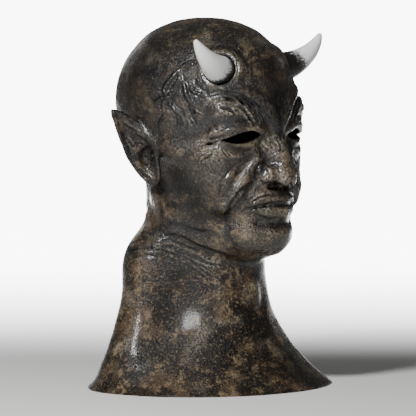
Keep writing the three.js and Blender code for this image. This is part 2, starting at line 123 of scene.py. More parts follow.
def egg(at, half):
    def field(p):
        q = [(p[i] - at[i]) / half[i] for i in range(3)]
        k = size(*q)
        return k * (k - 1) / np.maximum(size(*[q[i] / half[i] for i in range(3)]), 1e-6)
    return field

def bone(a, b, ra, rb):
    a = np.array(a, float)
    d = np.array(b, float) - a
    def field(p):
        q = [p[i] - a[i] for i in range(3)]
        t = np.clip((q[0] * d[0] + q[1] * d[1] + q[2] * d[2]) / (d @ d), 0, 1)
        return size(*[q[i] - d[i] * t for i in range(3)]) - (ra + (rb - ra) * t)
    return field

# %% [markdown]
# Most features of a face are rolls of clay laid along a line, or grooves drawn along one. A few points
# with a radius are enough for a line, because a smooth curve runs through them. Where a roll lies on the
# face only its x and z are chosen, and its y is found on the clay that is already there.

# %% Rolls of clay
def smooth_rows(rows, steps):
    rows = np.array(rows, float)
    ends = np.vstack([rows[0], rows, rows[-1]])
    out = []
    for p0, p1, p2, p3 in zip(ends, ends[1:], ends[2:], ends[3:]):
        for t in np.arange(steps) / steps:
            bend = 2 * p0 - 5 * p1 + 4 * p2 - p3 + t * (3 * (p1 - p2) + p3 - p0)
            out.append(p1 + 0.5 * t * (p2 - p0 + t * bend))
    return np.array(out + [rows[-1]])

OUT_OF_REACH, THICKEST_ROLL = 30, 11

def roll(rows, steps=3):
    path = smooth_rows(rows, steps)
    bones = [bone(a[:3], b[:3], a[3], b[3]) for a, b in zip(path, path[1:])]
    low, high = path[:, :3].min(0), path[:, :3].max(0)
    middle, radius = (low + high) / 2, np.linalg.norm(high - low) / 2
    def field(p):
        far = size(*[p[i] - middle[i] for i in range(3)]) - radius
        near = far <= OUT_OF_REACH
        out = far - THICKEST_ROLL
        if near.any():
            q = p[:, near]
            out[near] = np.minimum.reduce([f(q) for f in bones])
        return out
    return field

def laid(body, rows, sink=0.0):
    out = []
    y = np.arange(-128.0, 0, 0.5)
    for x, z, radius in rows:
        v = body(np.stack([np.full_like(y, x), y, np.full_like(y, z)]))
        i = int((v < 0).argmax())
        out.append([x, y[i - 1] + 0.5 * v[i - 1] / (v[i - 1] - v[i]) + sink, z, radius])
    return out

# %% [markdown]
# ## Big forms
#
# The skull is two eggs, and a third is the face. Jaw and chin hang on them, and the neck flares into the
# bib, as the CAD solid does with the same numbers.

# %% Skull, jaw, neck and bib
RIM = (132.0, 113.0)
NECK = (56.0, 57.0)
NECK_TOP, BIB_HEIGHT, FLARE = 225, 118.0, 2.2

def neck_and_bib(p):
    down = np.clip((BIB_HEIGHT - p[2]) / BIB_HEIGHT, 0, 1.1)
    a, b = (n + (r - n) * down ** FLARE for n, r in zip(NECK, RIM))
    slope = (RIM[1] - NECK[1]) * FLARE * down ** (FLARE - 1) / BIB_HEIGHT
    # the neck leans back on its way up
    lean = 3 * np.clip(p[2] / 120, 0, 1) + 10 * np.clip((p[2] - 120) / 90, 0, 1)
    shell = (size(p[0] / a, (p[1] - lean) / b) - 1) * np.minimum(a, b) / size(1, slope)
    return -soft_min(-shell, NECK_TOP - p[2], 12)

clay = egg((0, 19, 284), (77.5, 85, 82.5))  # skull
clay = add(clay, 22, egg((0, -20, 282), (68, 72, 80)))  # forehead
clay = add(clay, 22, egg((0, -30, 218), (62, 60, 74)))  # face
clay = add(clay, 16, both(egg((40, -30, 204), (28, 40, 36))))  # side of the face
clay = add(clay, 16, both(bone((16, -64, 153), (47, -6, 170), 19, 18)))  # jaw
clay = add(clay, 10, egg((0, -66, 158), (34.5, 31.5, 26)))  # chin
clay = add(clay, 14, neck_and_bib)
clay = add(clay, 30, both(bone((14, 28, 171), (54, 27, 124), 12, 22)))  # from the neck to the shoulder
clay = add(clay, 34, both(bone((54, 27, 124), (90, 22, 22), 22, 28)))  # from the shoulder down the bib

# %% Cheeks and muzzle
clay = add(clay, 12, both(egg((46, -52, 230), (20, 20, 17))))  # cheekbone
clay = add(clay, 14, both(egg((38, -54, 205), (20, 20, 24))))  # cheek beside the mouth
clay = add(clay, 18, both(bone((58, -40, 234), (69, -4, 240), 3.5, 2.5)))  # from the cheekbone to the ear
clay = carve(clay, 18, both(egg((91, -44, 264), (17, 28, 24))))  # temple
clay = carve(clay, 16, both(egg((77, -60, 198), (12, 28, 20))))  # hollow of the cheek
clay = add(clay, 12, egg((0, -62, 187), (34, 38, 27)))  # muzzle

# %% [markdown]
# ## Features
#
# The brow is what makes this devil: a swollen hood over each eye, a frown roll that sweeps up from the
# nose like a wing, and a deep arch between them. The hood hangs right on the eye slit, and a smooth bag
# lies under it. The nose is broad and droops, the mouth turns down, and a thick fold runs from the nose
# past the mouth's corner.

# %% Brows and eyes
clay = carve(clay, 12, both(egg((37, -102, 253), (22, 24, 11))))  # eye hollow
clay = carve(clay, 8, both(egg((19, -100, 255), (8, 16, 10))))  # eye's inner corner
clay = add(clay, 10, egg((0, -76, 272), (20, 16, 18)))  # between the brows
clay = add(clay, 9, both(egg((38, -61, 277), (25, 20, 17))))  # hood over the eye
frown = [(5, 264, 3), (10, 275, 5), (18, 286.5, 6.5), (33, 295, 6), (50, 297, 2.5)]
clay = add(clay, 7, both(roll(laid(clay, frown, 2))))
clay = add(clay, 6, both(egg((48, -62, 283), (12, 10, 8))))  # hood's outer top
hood_edge = [[15, -86, 257, 3.2], [24, -84.5, 260.5, 4.2], [36, -80, 261.5, 4.6],
             [50, -72, 261, 4.6], [61, -58, 256, 3]]
clay = add(clay, 8, both(roll(hood_edge)))
clay = add(clay, 5, both(egg((37, -66, 253), (19, 16, 12))))  # eyeball behind the lids
eye_corner = [57, -61, 249, 1.6]
lower_lid = [[19, -82, 251, 2], [28, -83, 246.5, 2.4], [39, -80.5, 245, 2.6], [49, -72, 246, 2.4]]
clay = add(clay, 3, both(roll(lower_lid + [eye_corner])))
bag = [(24, 241, 3), (34, 236, 4.5), (47, 236, 4.5), (57, 242, 3)]
clay = add(clay, 6, both(roll(laid(clay, bag, 2))))
arch = [(12, 262, 0.6), (17, 271, 1.2), (28, 282, 1.4), (40, 289, 1.6), (50, 290.5, 0.6)]
clay = carve(clay, 5, both(roll(laid(clay, arch))))

# %% Nose
nose = roll([[0, -80, 267, 8.5], [0, -84, 253, 8.5], [0, -94, 232, 9.2], [0, -98, 219, 10.2]])
nose = add(nose, 9, egg((0, -79, 224), (18, 20, 25)))  # body
nose = add(nose, 6, both(egg((15.5, -87.5, 215.5), (9.5, 12.5, 10))))  # wings
nose = add(nose, 5, both(egg((3.5, -102.5, 211.5), (7.5, 8, 8.5))))  # tip, faintly split
clay = add(clay, 6, nose)
clay = carve(clay, 3, both(egg((8.5, -94, 203.5), (6.5, 9, 4))))  # nostrils
wing_crease = [(9, 228, 0.6), (15, 229, 1.2), (20, 225, 1.6), (22, 216, 1.6)]
clay = carve(clay, 4, both(roll(laid(clay, wing_crease))))

# %% Mouth and chin
fold = [(25, 230, 3), (32, 218, 5.5), (41, 203, 6), (47, 186, 4)]
clay = add(clay, 12, both(roll(laid(clay, fold, 4.5))))
fold_inside = [(24, 217, 1.2), (31, 205, 1.8), (39, 192, 2), (44, 178, 1.6), (45, 162, 0.6)]
clay = carve(clay, 5, both(roll(laid(clay, fold_inside))))
fold_outside = [(31, 233, 0.5), (40, 222, 1), (50, 207, 1.2), (55, 193, 0.4)]
clay = carve(clay, 8, both(roll(laid(clay, fold_outside))))
upper_lip = [[29, -78, 185, 1.8], [19, -89.5, 189.5, 2.4], [8, -98.5, 191.5, 2.8], [0, -100, 190.5, 2.6]]
clay = add(clay, 3.5, both(roll(upper_lip)))
lower_lip = [[26, -78.5, 180.5, 2.6], [15, -89.5, 179.5, 5.6], [0, -97, 179, 6.6]]
clay = add(clay, 4, both(roll(lower_lip)))
mouth_line = [[31, -78.5, 182, 1], [20, -91.5, 186, 1.5], [9, -100.3, 187.5, 1.8], [0, -102.5, 186.8, 1.8]]
clay = carve(clay, 3, both(roll(mouth_line)))
clay = carve(clay, 5, egg((0, -107, 202), (3.6, 8, 6)))  # groove under the nose
over_chin = [(24, 168, 0.3), (12, 167, 0.6), (0, 167, 0.8)]
clay = carve(clay, 9, both(roll(laid(clay, over_chin, -0.6))))

# %% Throat and the fold under the jaw
clay = add(clay, 14, both(bone((52, 20, 192), (13, -56, 52), 8, 6)))  # neck's long muscle
clay = add(clay, 10, egg((0, -53, 94), (9, 8, 12)))  # throat
jaw_fold = [[63, 4, 160, -4], [55, -12, 154.5, 3.2], [44, -30, 149, 5.5], [23, -55, 139, 5], [0, -61, 134, 4]]
clay = add(clay, 9, both(roll(jaw_fold)))
lowest = clay(np.array([[0.0], [-60.0], [130.0]]))[0]
print("head done; the field under the chin reads", round(float(lowest), 1), "mm")

# %% [markdown]
# ## Ears
#
# A pointed ear is a bent leaf with a rolled edge, a soft band below its top edge, a bowl, and a ridge
# behind the bowl. It is drawn flat, in its own frame: u runs back, w up and t out of the head. The
# leaf's outline is a closed line, and its field is the distance to that line, joined with the sheet's
# thickness.

# %% Ears
EAR_AT, EAR_TURN, EAR_SHEET, EAR_LENGTH = (70, 8, 230), np.radians(29), 4.2, 60

def outline_field(points):
    def field(u, w):
        best, inside = np.full(u.shape, 1e9), np.zeros(u.shape, bool)
        for (ax, ay), (bx, by) in zip(points, np.roll(points, -1, axis=0)):
            dx, dy = bx - ax, by - ay
            t = np.clip(((u - ax) * dx + (w - ay) * dy) / (dx * dx + dy * dy), 0, 1)
            best = np.minimum(best, (u - ax - dx * t) ** 2 + (w - ay - dy * t) ** 2)
            if dy:
                inside ^= ((ay > w) != (by > w)) & (u < ax + (w - ay) / dy * dx)
        return np.where(inside, -1, 1) * np.sqrt(best)
    return field

EAR_BACK = np.array([np.sin(EAR_TURN), np.cos(EAR_TURN), 0])
EAR_UP = np.array([0, 0.1, 1]) / size(0.1, 1)
EAR_OUT = np.cross(EAR_BACK, EAR_UP)
EAR_OUT *= np.sign(EAR_OUT[0]) / np.linalg.norm(EAR_OUT)
top_edge = [[2, 24], [12, 31.5], [19, 36], [33, 46.5], [44, 51]]
back_edge = [[41, 36], [37, 22], [30, 3], [22, -10], [12, -21], [3, -27], [-4, -23], [-3, -8], [2, 24]]
leaf_outline = outline_field(smooth_rows(top_edge + back_edge, 2)[:-1])
ear_ridge = roll([[30, 23, 0.5, 1.6], [25, 17, 1, 2.4], [21, 8, 1, 2.8],
                  [18, -5, 1, 2.8], [11, -14, 1.5, 2.6], [3, -20, 2, 2.4]])
ear_band = roll([[41, 46, 1, 2], [31, 38, 1.5, 3.6], [19, 30, 2, 4.2], [8, 21, 2.5, 4.2], [1, 11, 2.5, 3]])

def ear(p):
    q = np.stack([p[i] - EAR_AT[i] for i in range(3)])
    out = size(q[0], q[1] - 20, q[2] - 10) - EAR_LENGTH
    near = out <= OUT_OF_REACH
    if near.any():
        q = q[:, near]
        u, w, t = (v[0] * q[0] + v[1] * q[1] + v[2] * q[2] for v in (EAR_BACK, EAR_UP, EAR_OUT))
        bowl = 5.5 * np.exp(-((((u - 11) / 7) ** 2 + ((w - 3) / 9) ** 2) ** 2))
        t = t - (0.01 * (u - 14) ** 2 + 0.0011 * w * w - 3 - bowl)
        edge, flat = leaf_outline(u, w), np.stack([u, w, t])
        leaf = -soft_min(-edge, EAR_SHEET / 2 - np.abs(t), 2.5)
        rolled_edge = size(edge + 2, t - 1.4) - 2.6
        for form in (rolled_edge, ear_band(flat), ear_ridge(flat)):
            leaf = soft_min(leaf, form, 2.5)
        out[near] = leaf
    return out

# %% [markdown]
# ## Collars
#
# The skin rises in two rolls round each horn, as if the horn had pushed through it. The rolls are rings
# round the horn's axis, so their field needs only the height above the root and the distance from the
# axis.

# %% Collars round the horns
HORN_LINE = np.array([(44, -54, 318), (58, -62, 321), (80, -66, 331), (91.5, -64.5, 350.5)], float)
HORN_AXIS = np.array([0.80, -0.52, 0.30]) / size(0.80, -0.52, 0.30)
HORN_ROOT, HORN_TIP, HORN_TAPER, HORN_GAP = 15.5, 1.6, 0.75, 0.3

def about_horn(p):
    q = [p[i] - HORN_LINE[0][i] for i in range(3)]
    h = sum(q[i] * HORN_AXIS[i] for i in range(3))
    return np.sqrt(np.maximum(sum(c * c for c in q) - h * h, 0)), h

def ring(radius, height, thick):
    def field(p):
        r, h = about_horn(p)
        return size(r - HORN_ROOT - radius, h - height) - thick
    return both(field)

face = clay
whole = add(add(add(face, 6, ring(2.9, 1.2, 2.9)), 3, ring(6.8, -1.5, 2)), 5, both(ear))

# %% [markdown]
# ## From clay to mesh
#
# A surface net turns the field into quads: every grid cell that the surface passes through gets one
# point, and four neighbouring points make a face. The grid is 3.5 mm round the face and skull and up to
# 5 mm on the bib and the nape. Only the blocks of cells near the surface are worked out, which saves
# most of the time.

# %% Surface net
def grid_lines(stops):
    out = []
    for (a, step), stop in zip(stops, stops[1:]):
        n = max(1, round((stop[0] - a) / step))
        out += [a + (stop[0] - a) * i / n for i in range(n)]
    return np.array(out + [stops[-1][0]], np.float32)

def fill_grid(field, axes, block=8, reach=1.35):
    n = [len(a) for a in axes]
    starts = [np.arange(-(-m // block)) * block for m in n]
    low = [a[s] for a, s in zip(axes, starts)]
    high = [a[np.minimum(s + block, m - 1)] for a, s, m in zip(axes, starts, n)]
    centre = np.stack(np.meshgrid(*[(a + b) / 2 for a, b in zip(low, high)], indexing="ij"))
    half = np.meshgrid(*[(b - a) / 2 for a, b in zip(low, high)], indexing="ij")
    coarse = field(centre.reshape(3, -1)).reshape(centre.shape[1:])
    near = np.abs(coarse) < reach * size(*half) + 1
    def spread(a):
        return a.repeat(block, 0).repeat(block, 1).repeat(block, 2)
    full = spread(coarse)[: n[0], : n[1], : n[2]].astype(np.float32)
    grown = spread(near)
    for axis in range(3):
        grown = grown | np.roll(grown, 1, axis)
    i, j, k = np.nonzero(grown[: n[0], : n[1], : n[2]])
    for s in range(0, len(i), 400_000):
        e = slice(s, s + 400_000)
        full[i[e], j[e], k[e]] = field(np.stack([axes[0][i[e]], axes[1][j[e]], axes[2][k[e]]]))
    return full

def surface_net(full, axes):
    inside, n = full < 0, full.shape
    corners = [(a, b, c) for a in (0, 1) for b in (0, 1) for c in (0, 1)]
    def shifted(a, b, c):
        return inside[a : n[0] - 1 + a, b : n[1] - 1 + b, c : n[2] - 1 + c].astype(np.int8)
    count = sum(shifted(*corner) for corner in corners)
    cell = np.stack(np.nonzero((count > 0) & (count < 8)))
    index = np.full(count.shape, -1, np.int64)
    index[tuple(cell)] = np.arange(cell.shape[1])
    total, hits = np.zeros((cell.shape[1], 3)), np.zeros(cell.shape[1])
    def place(c):
        return np.stack([axes[i][c[i]] for i in range(3)], 1).astype(float)
    for a in corners:
        for axis in (i for i in range(3) if not a[i]):
            c0 = cell + np.array(a)[:, None]
            c1 = c0.copy()
            c1[axis] += 1
            f0, f1 = full[tuple(c0)], full[tuple(c1)]
            cross = (f0 < 0) != (f1 < 0)
            t = np.where(cross, f0 / np.where(cross, f0 - f1, 1), 0)[:, None]
            total += np.where(cross[:, None], place(c0) + (place(c1) - place(c0)) * t, 0)
            hits += cross
    quads = []
    for axis in range(3):
        u, v = (axis + 1) % 3, (axis + 2) % 3
        first, second = [slice(None)] * 3, [slice(None)] * 3
        first[axis], second[axis] = slice(0, -1), slice(1, None)
        from_in, to_in = inside[tuple(first)], inside[tuple(second)]
        e = np.array(np.nonzero(from_in != to_in))
        def beside(du, dv):
            c = e.copy()
            c[u] -= du
            c[v] -= dv
            return index[tuple(c)]
        quad = np.stack([beside(1, 1), beside(0, 1), beside(0, 0), beside(1, 0)], 1)
        turned = ~from_in[tuple(e)]
        quad[turned] = quad[turned][:, ::-1]
        quads.append(quad)
    return total / hits[:, None], np.concatenate(quads)

# %% [markdown]
# The net's points sit in their cells, so they are slid towards their neighbours' middle and put back on
# the surface a few times, which leaves even faces. The field's slope also gives each point's normal.

# %% Settling on the surface
TETRA = np.array([(1, 1, 1), (1, -1, -1), (-1, 1, -1), (-1, -1, 1)], np.float32)

def slope(field, points, h=0.4):
    p = points.T.astype(np.float32)
    return sum(np.outer(field(p + h * d[:, None]), d) for d in TETRA) / (4 * h)

def onto(field, points):
    g = slope(field, points)
    step = field(points.T.astype(np.float32)) / np.maximum((g * g).sum(1), 0.05)
    return points - g * np.clip(step, -2, 2)[:, None]

def neighbour_mean(points, edges):
    total = np.zeros_like(points)
    for here, there in (edges.T, edges.T[::-1]):
        for axis in range(3):
            total[:, axis] += np.bincount(here, points[there, axis], len(points))
    return total / np.maximum(np.bincount(edges.ravel(), minlength=len(points)), 1)[:, None]

def settle(field, points, edges, rounds=2):
    for _ in range(rounds):
        points = onto(field, (points + neighbour_mean(points, edges)) / 2)
    return onto(field, points)

# %% [markdown]
# ## Wrinkles, folds and veins
#
# The sculptor draws these with a loop tool while looking at the head, and so does this lesson: a stroke
# is a short row of picture points (of a 416 x 416 picture), seen through the camera. A ray through each
# point finds the clay, so the stroke lies on the skin from every side. It is drawn on both sides of the
# face, with a small shift between the two. A groove is a bell curve across the stroke, a fold has a
# raised lip on each side, and a vein stands up with a faint groove along it. Grooves and folds also get
# painted shade along their middle. A shade stroke is paint alone: painted shadow under the nose and in
# the ear, and dark lines on the scalp. On the nape, which the camera doesn't see, strokes are placed by
# points of their own.

# %% Stroke tools
RIGHT = direction(AZIMUTH + 90, 0)
UP = np.cross(BACK, RIGHT)
UP *= np.sign(UP[2])
PICTURE_MIDDLE = 208

def seen_at(pixels):
    rays = [-BACK * DISTANCE + RIGHT * (x - PICTURE_MIDDLE) + UP * (PICTURE_MIDDLE - y) for x, y in pixels]
    rays = np.array(rays) / np.linalg.norm(rays, axis=1)[:, None]
    reach = np.full(len(rays), DISTANCE - 180.0)
    for _ in range(60):
        reach = reach + 0.8 * whole((EYE_POINT + rays * reach[:, None]).T)
    return EYE_POINT + rays * reach[:, None]

STROKES = []

def draw(kind, width, depth, *lines):
    for pixels in lines:
        path = seen_at(pixels)
        path[:, 0] *= -1
        STROKES.append((kind, width, depth, path))

def carve_at(kind, width, depth, *lines):
    for path in lines:
        STROKES.append((kind, width, depth, onto(whole, np.array(path, float))))

def hatch(kind, width, depth, count, first, last):
    first, last = np.array(first, float), np.array(last, float)
    for i in range(count):
        sway = np.outer(np.sin(2.4 * i + 1.7 * np.arange(len(first))), (0.5, 0.5))
        draw(kind, width, depth, first + (last - first) * i / (count - 1) + sway)

def across(kind, q):
    if kind == "fold":
        return -np.exp(-q * q) + 0.38 * np.exp(-((q - 2.1) / 0.95) ** 2)
    if kind == "vein":
        return np.exp(-(q ** 2)) - 0.4 * np.exp(-((q - 1.9) / 0.7) ** 2)
    if kind == "shade":
        return 0 * q
    return -np.exp(-q * q)

def nearest_on(line, points):
    """How far each point is from the line, and how far along the line that is, from 0 to 1."""
    best, along = np.full(len(points), 1e9), np.zeros(len(points))
    for i, (a, b) in enumerate(zip(line, line[1:])):
        d = b - a
        t = np.clip(((points - a) @ d) / (d @ d), 0, 1)
        gap = np.linalg.norm(points - a - t[:, None] * d, axis=1)
        closer = gap < best
        best[closer], along[closer] = gap[closer], (i + t[closer]) / (len(line) - 1)
    return best, along

def strokes_on(points, seed=5):
    """The relief in millimetres, the part in veins, painted shade and dark lines, and vein paint at each
    point.
    """
    random = np.random.default_rng(seed)
    relief, in_veins, painted_shade_and_lines, vein = (np.zeros(len(points)) for _ in range(4))
    for kind, width, depth, path in STROKES:
        for side in (1, -1):
            shift = random.normal(0, 0.35, path.shape) * (side < 0) * 2
            line = smooth_rows((path + shift) * (side, 1, 1), 5)
            low, high = line.min(0) - 4 * width, line.max(0) + 4 * width
            near = np.nonzero(((points > low) & (points < high)).all(1))[0]
            if not len(near):
                continue
            best, along = nearest_on(line, points[near])
            taper = np.clip(np.minimum(along, 1 - along) * 4, 0, 1)
            taper = 0.15 + 0.85 * taper * taper * (3 - 2 * taper)
            shape = depth * taper * across(kind, best / (width * (0.55 + 0.45 * taper)))
            relief[near] += shape
            painted, edge = painted_shade_and_lines, best / width
            if kind == "vein":
                in_veins[near] += shape
                painted, edge = vein, np.maximum(edge - 1.5, 0)
            # grooves, folds and shade strokes lay painted shade along their middle; veins get their own dark
            # paint
            dark = taper * min(1, depth / 0.6) * np.exp(-edge * edge)
            painted[near] = np.maximum(painted[near], dark)
    return relief, in_veins, painted_shade_and_lines, vein

# %% Brow and forehead lines
# furrows that sweep over the brow down to the nose
hatch("groove", 0.9, 1.5, 5, [(204, 94), (222, 90.5), (240, 93), (252, 102), (261, 115), (265, 127)],
      [(212, 102), (221, 97.5), (232, 97.5), (243, 104), (251, 112), (258, 124)])
# the hood's deep fold and the short ones under it
draw("fold", 1.5, 2.0, [(210, 107), (216, 101.5), (224, 99), (232, 100.5), (240, 106), (247, 113),
      (253, 121), (257, 127)])
draw("fold", 1.3, 1.3, [(219, 107.5), (225, 107.5), (230, 110), (234, 114)])
draw("groove", 1.0, 0.8, [(222, 115), (229, 117.5), (236, 115.5)], [(236, 121), (243, 119), (250, 121)])
# hollows at the brow's outer end, and the creases right over the eye
draw("groove", 1.6, 1.0, [(210, 120), (215, 125), (217, 131)], [(203, 124), (208, 131), (212, 137)])
draw("groove", 0.9, 0.8, [(208, 138), (215, 133), (224, 129), (236, 126), (249, 126.5)])
draw("groove", 1.1, 1.0, [(203, 144), (212, 141), (221, 137.5), (229, 134.5)])
# faint upright lines in the middle of the forehead
hatch("groove", 0.7, 0.5, 6, [(256, 87), (261, 100), (266, 114)], [(281, 90), (281, 104), (280, 120)])

# %% Lines round the eye
# crow's feet
hatch("fold", 1.0, 2.1, 5, [(219, 141.5), (209, 142), (196, 141)], [(216, 150), (209, 157), (200, 163)])
# the bag's fine folds and its lower edge
hatch("fold", 0.7, 0.6, 3, [(220, 147), (225, 153), (231, 158)], [(225, 147.5), (230, 152), (236, 155.5)])
draw("groove", 1.0, 0.8, [(222, 158), (231, 162), (240, 160), (248, 156), (256, 150)])
# cracks over the cheek
draw("groove", 0.8, 0.7, [(238, 168), (245, 163), (252, 159)], [(212, 162), (218, 165), (225, 166)])
hatch("groove", 0.7, 0.65, 6, [(190, 148), (196, 162), (204, 172)], [(212, 166), (218, 174), (226, 178)])

# %% Lines on the nose
# frown folds across the nose's root
hatch("fold", 0.9, 2.0, 4, [(261, 142), (265, 146.5), (269, 152)], [(272, 133.5), (277, 138.5), (281, 145)])
# lines down the nose's side and bridge
draw("groove", 1.0, 0.6, [(259, 147), (261, 153), (261, 158)], [(284, 140), (286, 146), (289, 152)])
# the crease round the wing, cut again at the back so that it is deepest there
draw("groove", 1.5, 1.8, [(273, 165.5), (268, 163), (262, 163.5), (258, 167.5), (256.5, 174), (259, 180)])
draw("groove", 1.4, 1.5, [(258, 167.5), (256.5, 174), (258.5, 180), (263, 183)])
# painted shadow under the nose and in the nostrils
draw("shade", 3.6, 1.0, [(260, 185), (267, 182), (276, 182), (284, 186), (290, 189)],
     [(270, 187), (278, 190), (286, 192)])

# %% Folds beside the mouth, lips and chin
# the crease from the nose past the mouth's corner
draw("groove", 1.8, 2.6, [(257, 174), (251, 182), (243, 190.5), (234, 199), (229, 207), (227, 216),
      (227.5, 226)])
draw("groove", 1.8, 1.3, [(228.5, 207), (227, 217), (227.5, 227), (230.5, 238), (237, 248)])
# the fold's outer edge, and hatching along the fold
draw("groove", 1.4, 1.1, [(245, 160), (236, 166), (228, 174), (222, 183), (219, 191), (218, 200)])
hatch("groove", 0.6, 0.3, 4, [(258, 166), (250, 174), (240, 184), (231, 194)],
      [(249, 164), (240, 170), (231, 179), (225, 190)])
# the mouth's corner, the crease over the lip, the mouth and the lip's lower edge
draw("groove", 1.0, 0.5, [(249, 207), (245, 210), (240, 213.5)])
draw("fold", 0.9, 0.9, [(251, 203.5), (257, 199), (264, 196.5), (275, 193)])
draw("groove", 1.2, 1.2, [(247, 208), (254, 206), (262, 206.5), (272, 206), (282, 205), (291, 206)])
draw("groove", 1.1, 0.8, [(252, 211.5), (261, 216.5), (270, 219), (281, 219.5), (291, 218)])
# cracks in the lower lip, and lines beside the upper one
hatch("groove", 0.5, 0.4, 9, [(256, 207.5), (256, 210), (257, 213)], [(289, 207.5), (289, 211.5), (289, 216)])
hatch("groove", 0.6, 0.35, 5, [(247, 196), (244, 203), (240, 209)], [(262, 183), (257, 190), (252, 197)])
# creases of the chin
draw("groove", 0.9, 0.5, [(230, 240), (235, 248), (242, 254)], [(248, 223), (258, 225), (268, 224.5)])
hatch("groove", 0.6, 0.3, 5, [(240, 216), (241, 226), (245, 238)], [(262, 224), (261, 234), (262, 245)])

# %% Temple and scalp veins
# two long veins on the temple, then their branches
draw("vein", 2.0, 2.4, [(179, 68), (174, 75), (168, 82), (165.5, 90), (166, 98), (163, 106), (165, 115)])
draw("vein", 2.0, 2.4, [(179, 70), (180, 78), (176, 85), (171, 92), (170, 101), (174, 109), (181, 116),
      (185, 124)])
draw("vein", 1.8, 2.1, [(180, 79), (184, 86), (186, 94), (190, 100), (196, 105)])
draw("vein", 1.5, 1.7, [(190, 101), (192, 110), (196, 119), (201, 127)], [(171, 95), (160, 99), (152, 107)])
draw("vein", 1.3, 1.3, [(179, 70), (188, 64), (196, 60)], [(165, 114), (160, 124), (162, 134)])
draw("vein", 1.3, 1.3, [(188, 86), (196, 92), (204, 96)], [(174, 109), (178, 118), (180, 128)])
# thin dark lines that wander over the scalp
draw("shade", 1.1, 0.8, [(203, 44), (208, 40), (215, 41), (223, 42), (231, 40.5), (239, 39.5)])
draw("shade", 1.1, 0.8, [(240, 40), (237, 46), (236, 51), (241, 54.5), (249, 55.5), (253, 61), (251, 69),
      (256, 75)])
draw("shade", 1.0, 0.8, [(160, 66), (150, 72), (140, 70)], [(236, 51), (229, 47), (222, 48)],
     [(196, 60), (186, 50), (170, 46)])
# short folds between temple and brow
draw("fold", 1.1, 0.9, [(186, 113), (190, 118), (193, 125)], [(192, 108), (197, 113), (203, 115)])

# %% Collar cracks, ear and neck
# cracks in the collar's edge
draw("groove", 1.2, 1.2, [(195, 77), (198, 84), (203, 89.5), (210, 92)])
draw("groove", 0.8, 0.6, [(236, 60), (238, 68), (237, 77), (232, 84)], [(226, 49), (232, 52), (236, 58)])
# folds, a crease and painted shadow inside the ear
draw("fold", 1.0, 0.7, [(120, 121), (130, 128), (140, 135), (148, 143)], [(126, 135), (131, 143), (136, 148)])
draw("groove", 1.4, 1.2, [(126, 152), (133, 164), (142, 174), (151, 180)])
draw("shade", 4.5, 1.0, [(142, 147), (145, 154), (149, 161)])
draw("shade", 3.0, 0.5, [(118, 126), (124, 140), (130, 156), (138, 168)])
# the crease under the jaw and a wide one over it
draw("groove", 2.0, 1.9, [(158, 235), (170, 236), (182, 239.5), (195, 245), (210, 250), (225, 254),
      (240, 257)])
draw("groove", 2.4, 1.2, [(163, 216), (172, 222), (185, 227.5), (198, 231), (210, 231)])
# lines and folds on the side of the neck
hatch("groove", 1.4, 0.7, 4, [(130, 238), (142, 232), (155, 232)], [(126, 262), (142, 256), (158, 258)])
hatch("groove", 1.2, 0.5, 4, [(163, 246), (180, 248), (196, 255), (210, 263)],
      [(160, 262), (176, 268), (192, 276), (206, 284)])
draw("groove", 1.6, 0.5, [(152, 196), (153, 207), (150, 219)], [(158, 196), (160, 207), (163, 214)])
draw("fold", 1.2, 0.6, [(158, 241), (172, 241.5), (188, 247), (203, 254)],
     [(172, 250), (186, 254), (206, 262), (224, 266)])
draw("fold", 1.0, 0.5, [(148, 252), (160, 250), (172, 253), (182, 259)], [(190, 263), (203, 270), (214, 279)])
# folds of the nape, and a vein behind each ear
carve_at("fold", 2.6, 1.0, [(56, 34, 178), (40, 56, 174), (20, 66, 172), (0, 69, 172)])
carve_at("fold", 2.4, 0.7, [(60, 30, 152), (44, 52, 147), (22, 62, 145), (0, 65, 145)])
carve_at("groove", 2.0, 0.7, [(50, 48, 196), (30, 66, 192), (12, 74, 190), (0, 75, 190)])
carve_at("vein", 1.6, 0.8, [(66, 38, 300), (62, 52, 286), (60, 60, 270), (52, 68, 258)],
         [(62, 52, 286), (52, 66, 290), (44, 76, 284)])
print(len(STROKES), "strokes, each on both sides")

# %% [markdown]
# ## The skin's mesh
#
# Wrinkles need points less than a millimetre apart, which is too many for the whole mask. So the net is
# refined by subdividing edges, once round the lines, the ears and the collars, and once more right on the
# finest lines. Blender fills the faces between fine and coarse parts, so the skin stays closed. The
# piece has to stay under 200,000 triangles.

# %% Base mesh of the skin
def mesh_of(name, points, faces):
    mesh = bpy.data.meshes.new(name)
    mesh.from_pydata(points, [], faces)
    return mesh

def arrays_of(mesh):
    points = np.zeros(len(mesh.vertices) * 3, np.float32)
    mesh.vertices.foreach_get("co", points)
    edges = np.zeros(len(mesh.edges) * 2, np.int32)
    mesh.edges.foreach_get("vertices", edges)
    return points.reshape(-1, 3).astype(float), edges.reshape(-1, 2)

def put(mesh, points):
    mesh.vertices.foreach_set("co", points.astype(np.float32).ravel())

def net_mesh(name, field, axes):
    mesh = mesh_of(name, *surface_net(fill_grid(field, axes), axes))
    points, edges = arrays_of(mesh)
    put(mesh, settle(field, points, edges))
    print(name, "net:", len(points), "points,", len(mesh.polygons), "quads")
    return mesh

BELOW = 6

def standing(p):
    return np.maximum(whole(p), -p[2] - BELOW)

STEP = 3.5
skin_mesh = net_mesh("skin", standing, [
    grid_lines([(-146, 4.5), (-108, STEP), (108, 4.5), (146,)]),
    grid_lines([(-128, 4.5), (-116, STEP), (64, 4.5), (128,)]),
    grid_lines([(-2 * BELOW, 5), (118, STEP), (376,)]),
])

# %% Refining near the strokes
CUBE = np.stack(np.meshgrid(*[(-1, 0, 1)] * 3), -1).reshape(-1, 3)

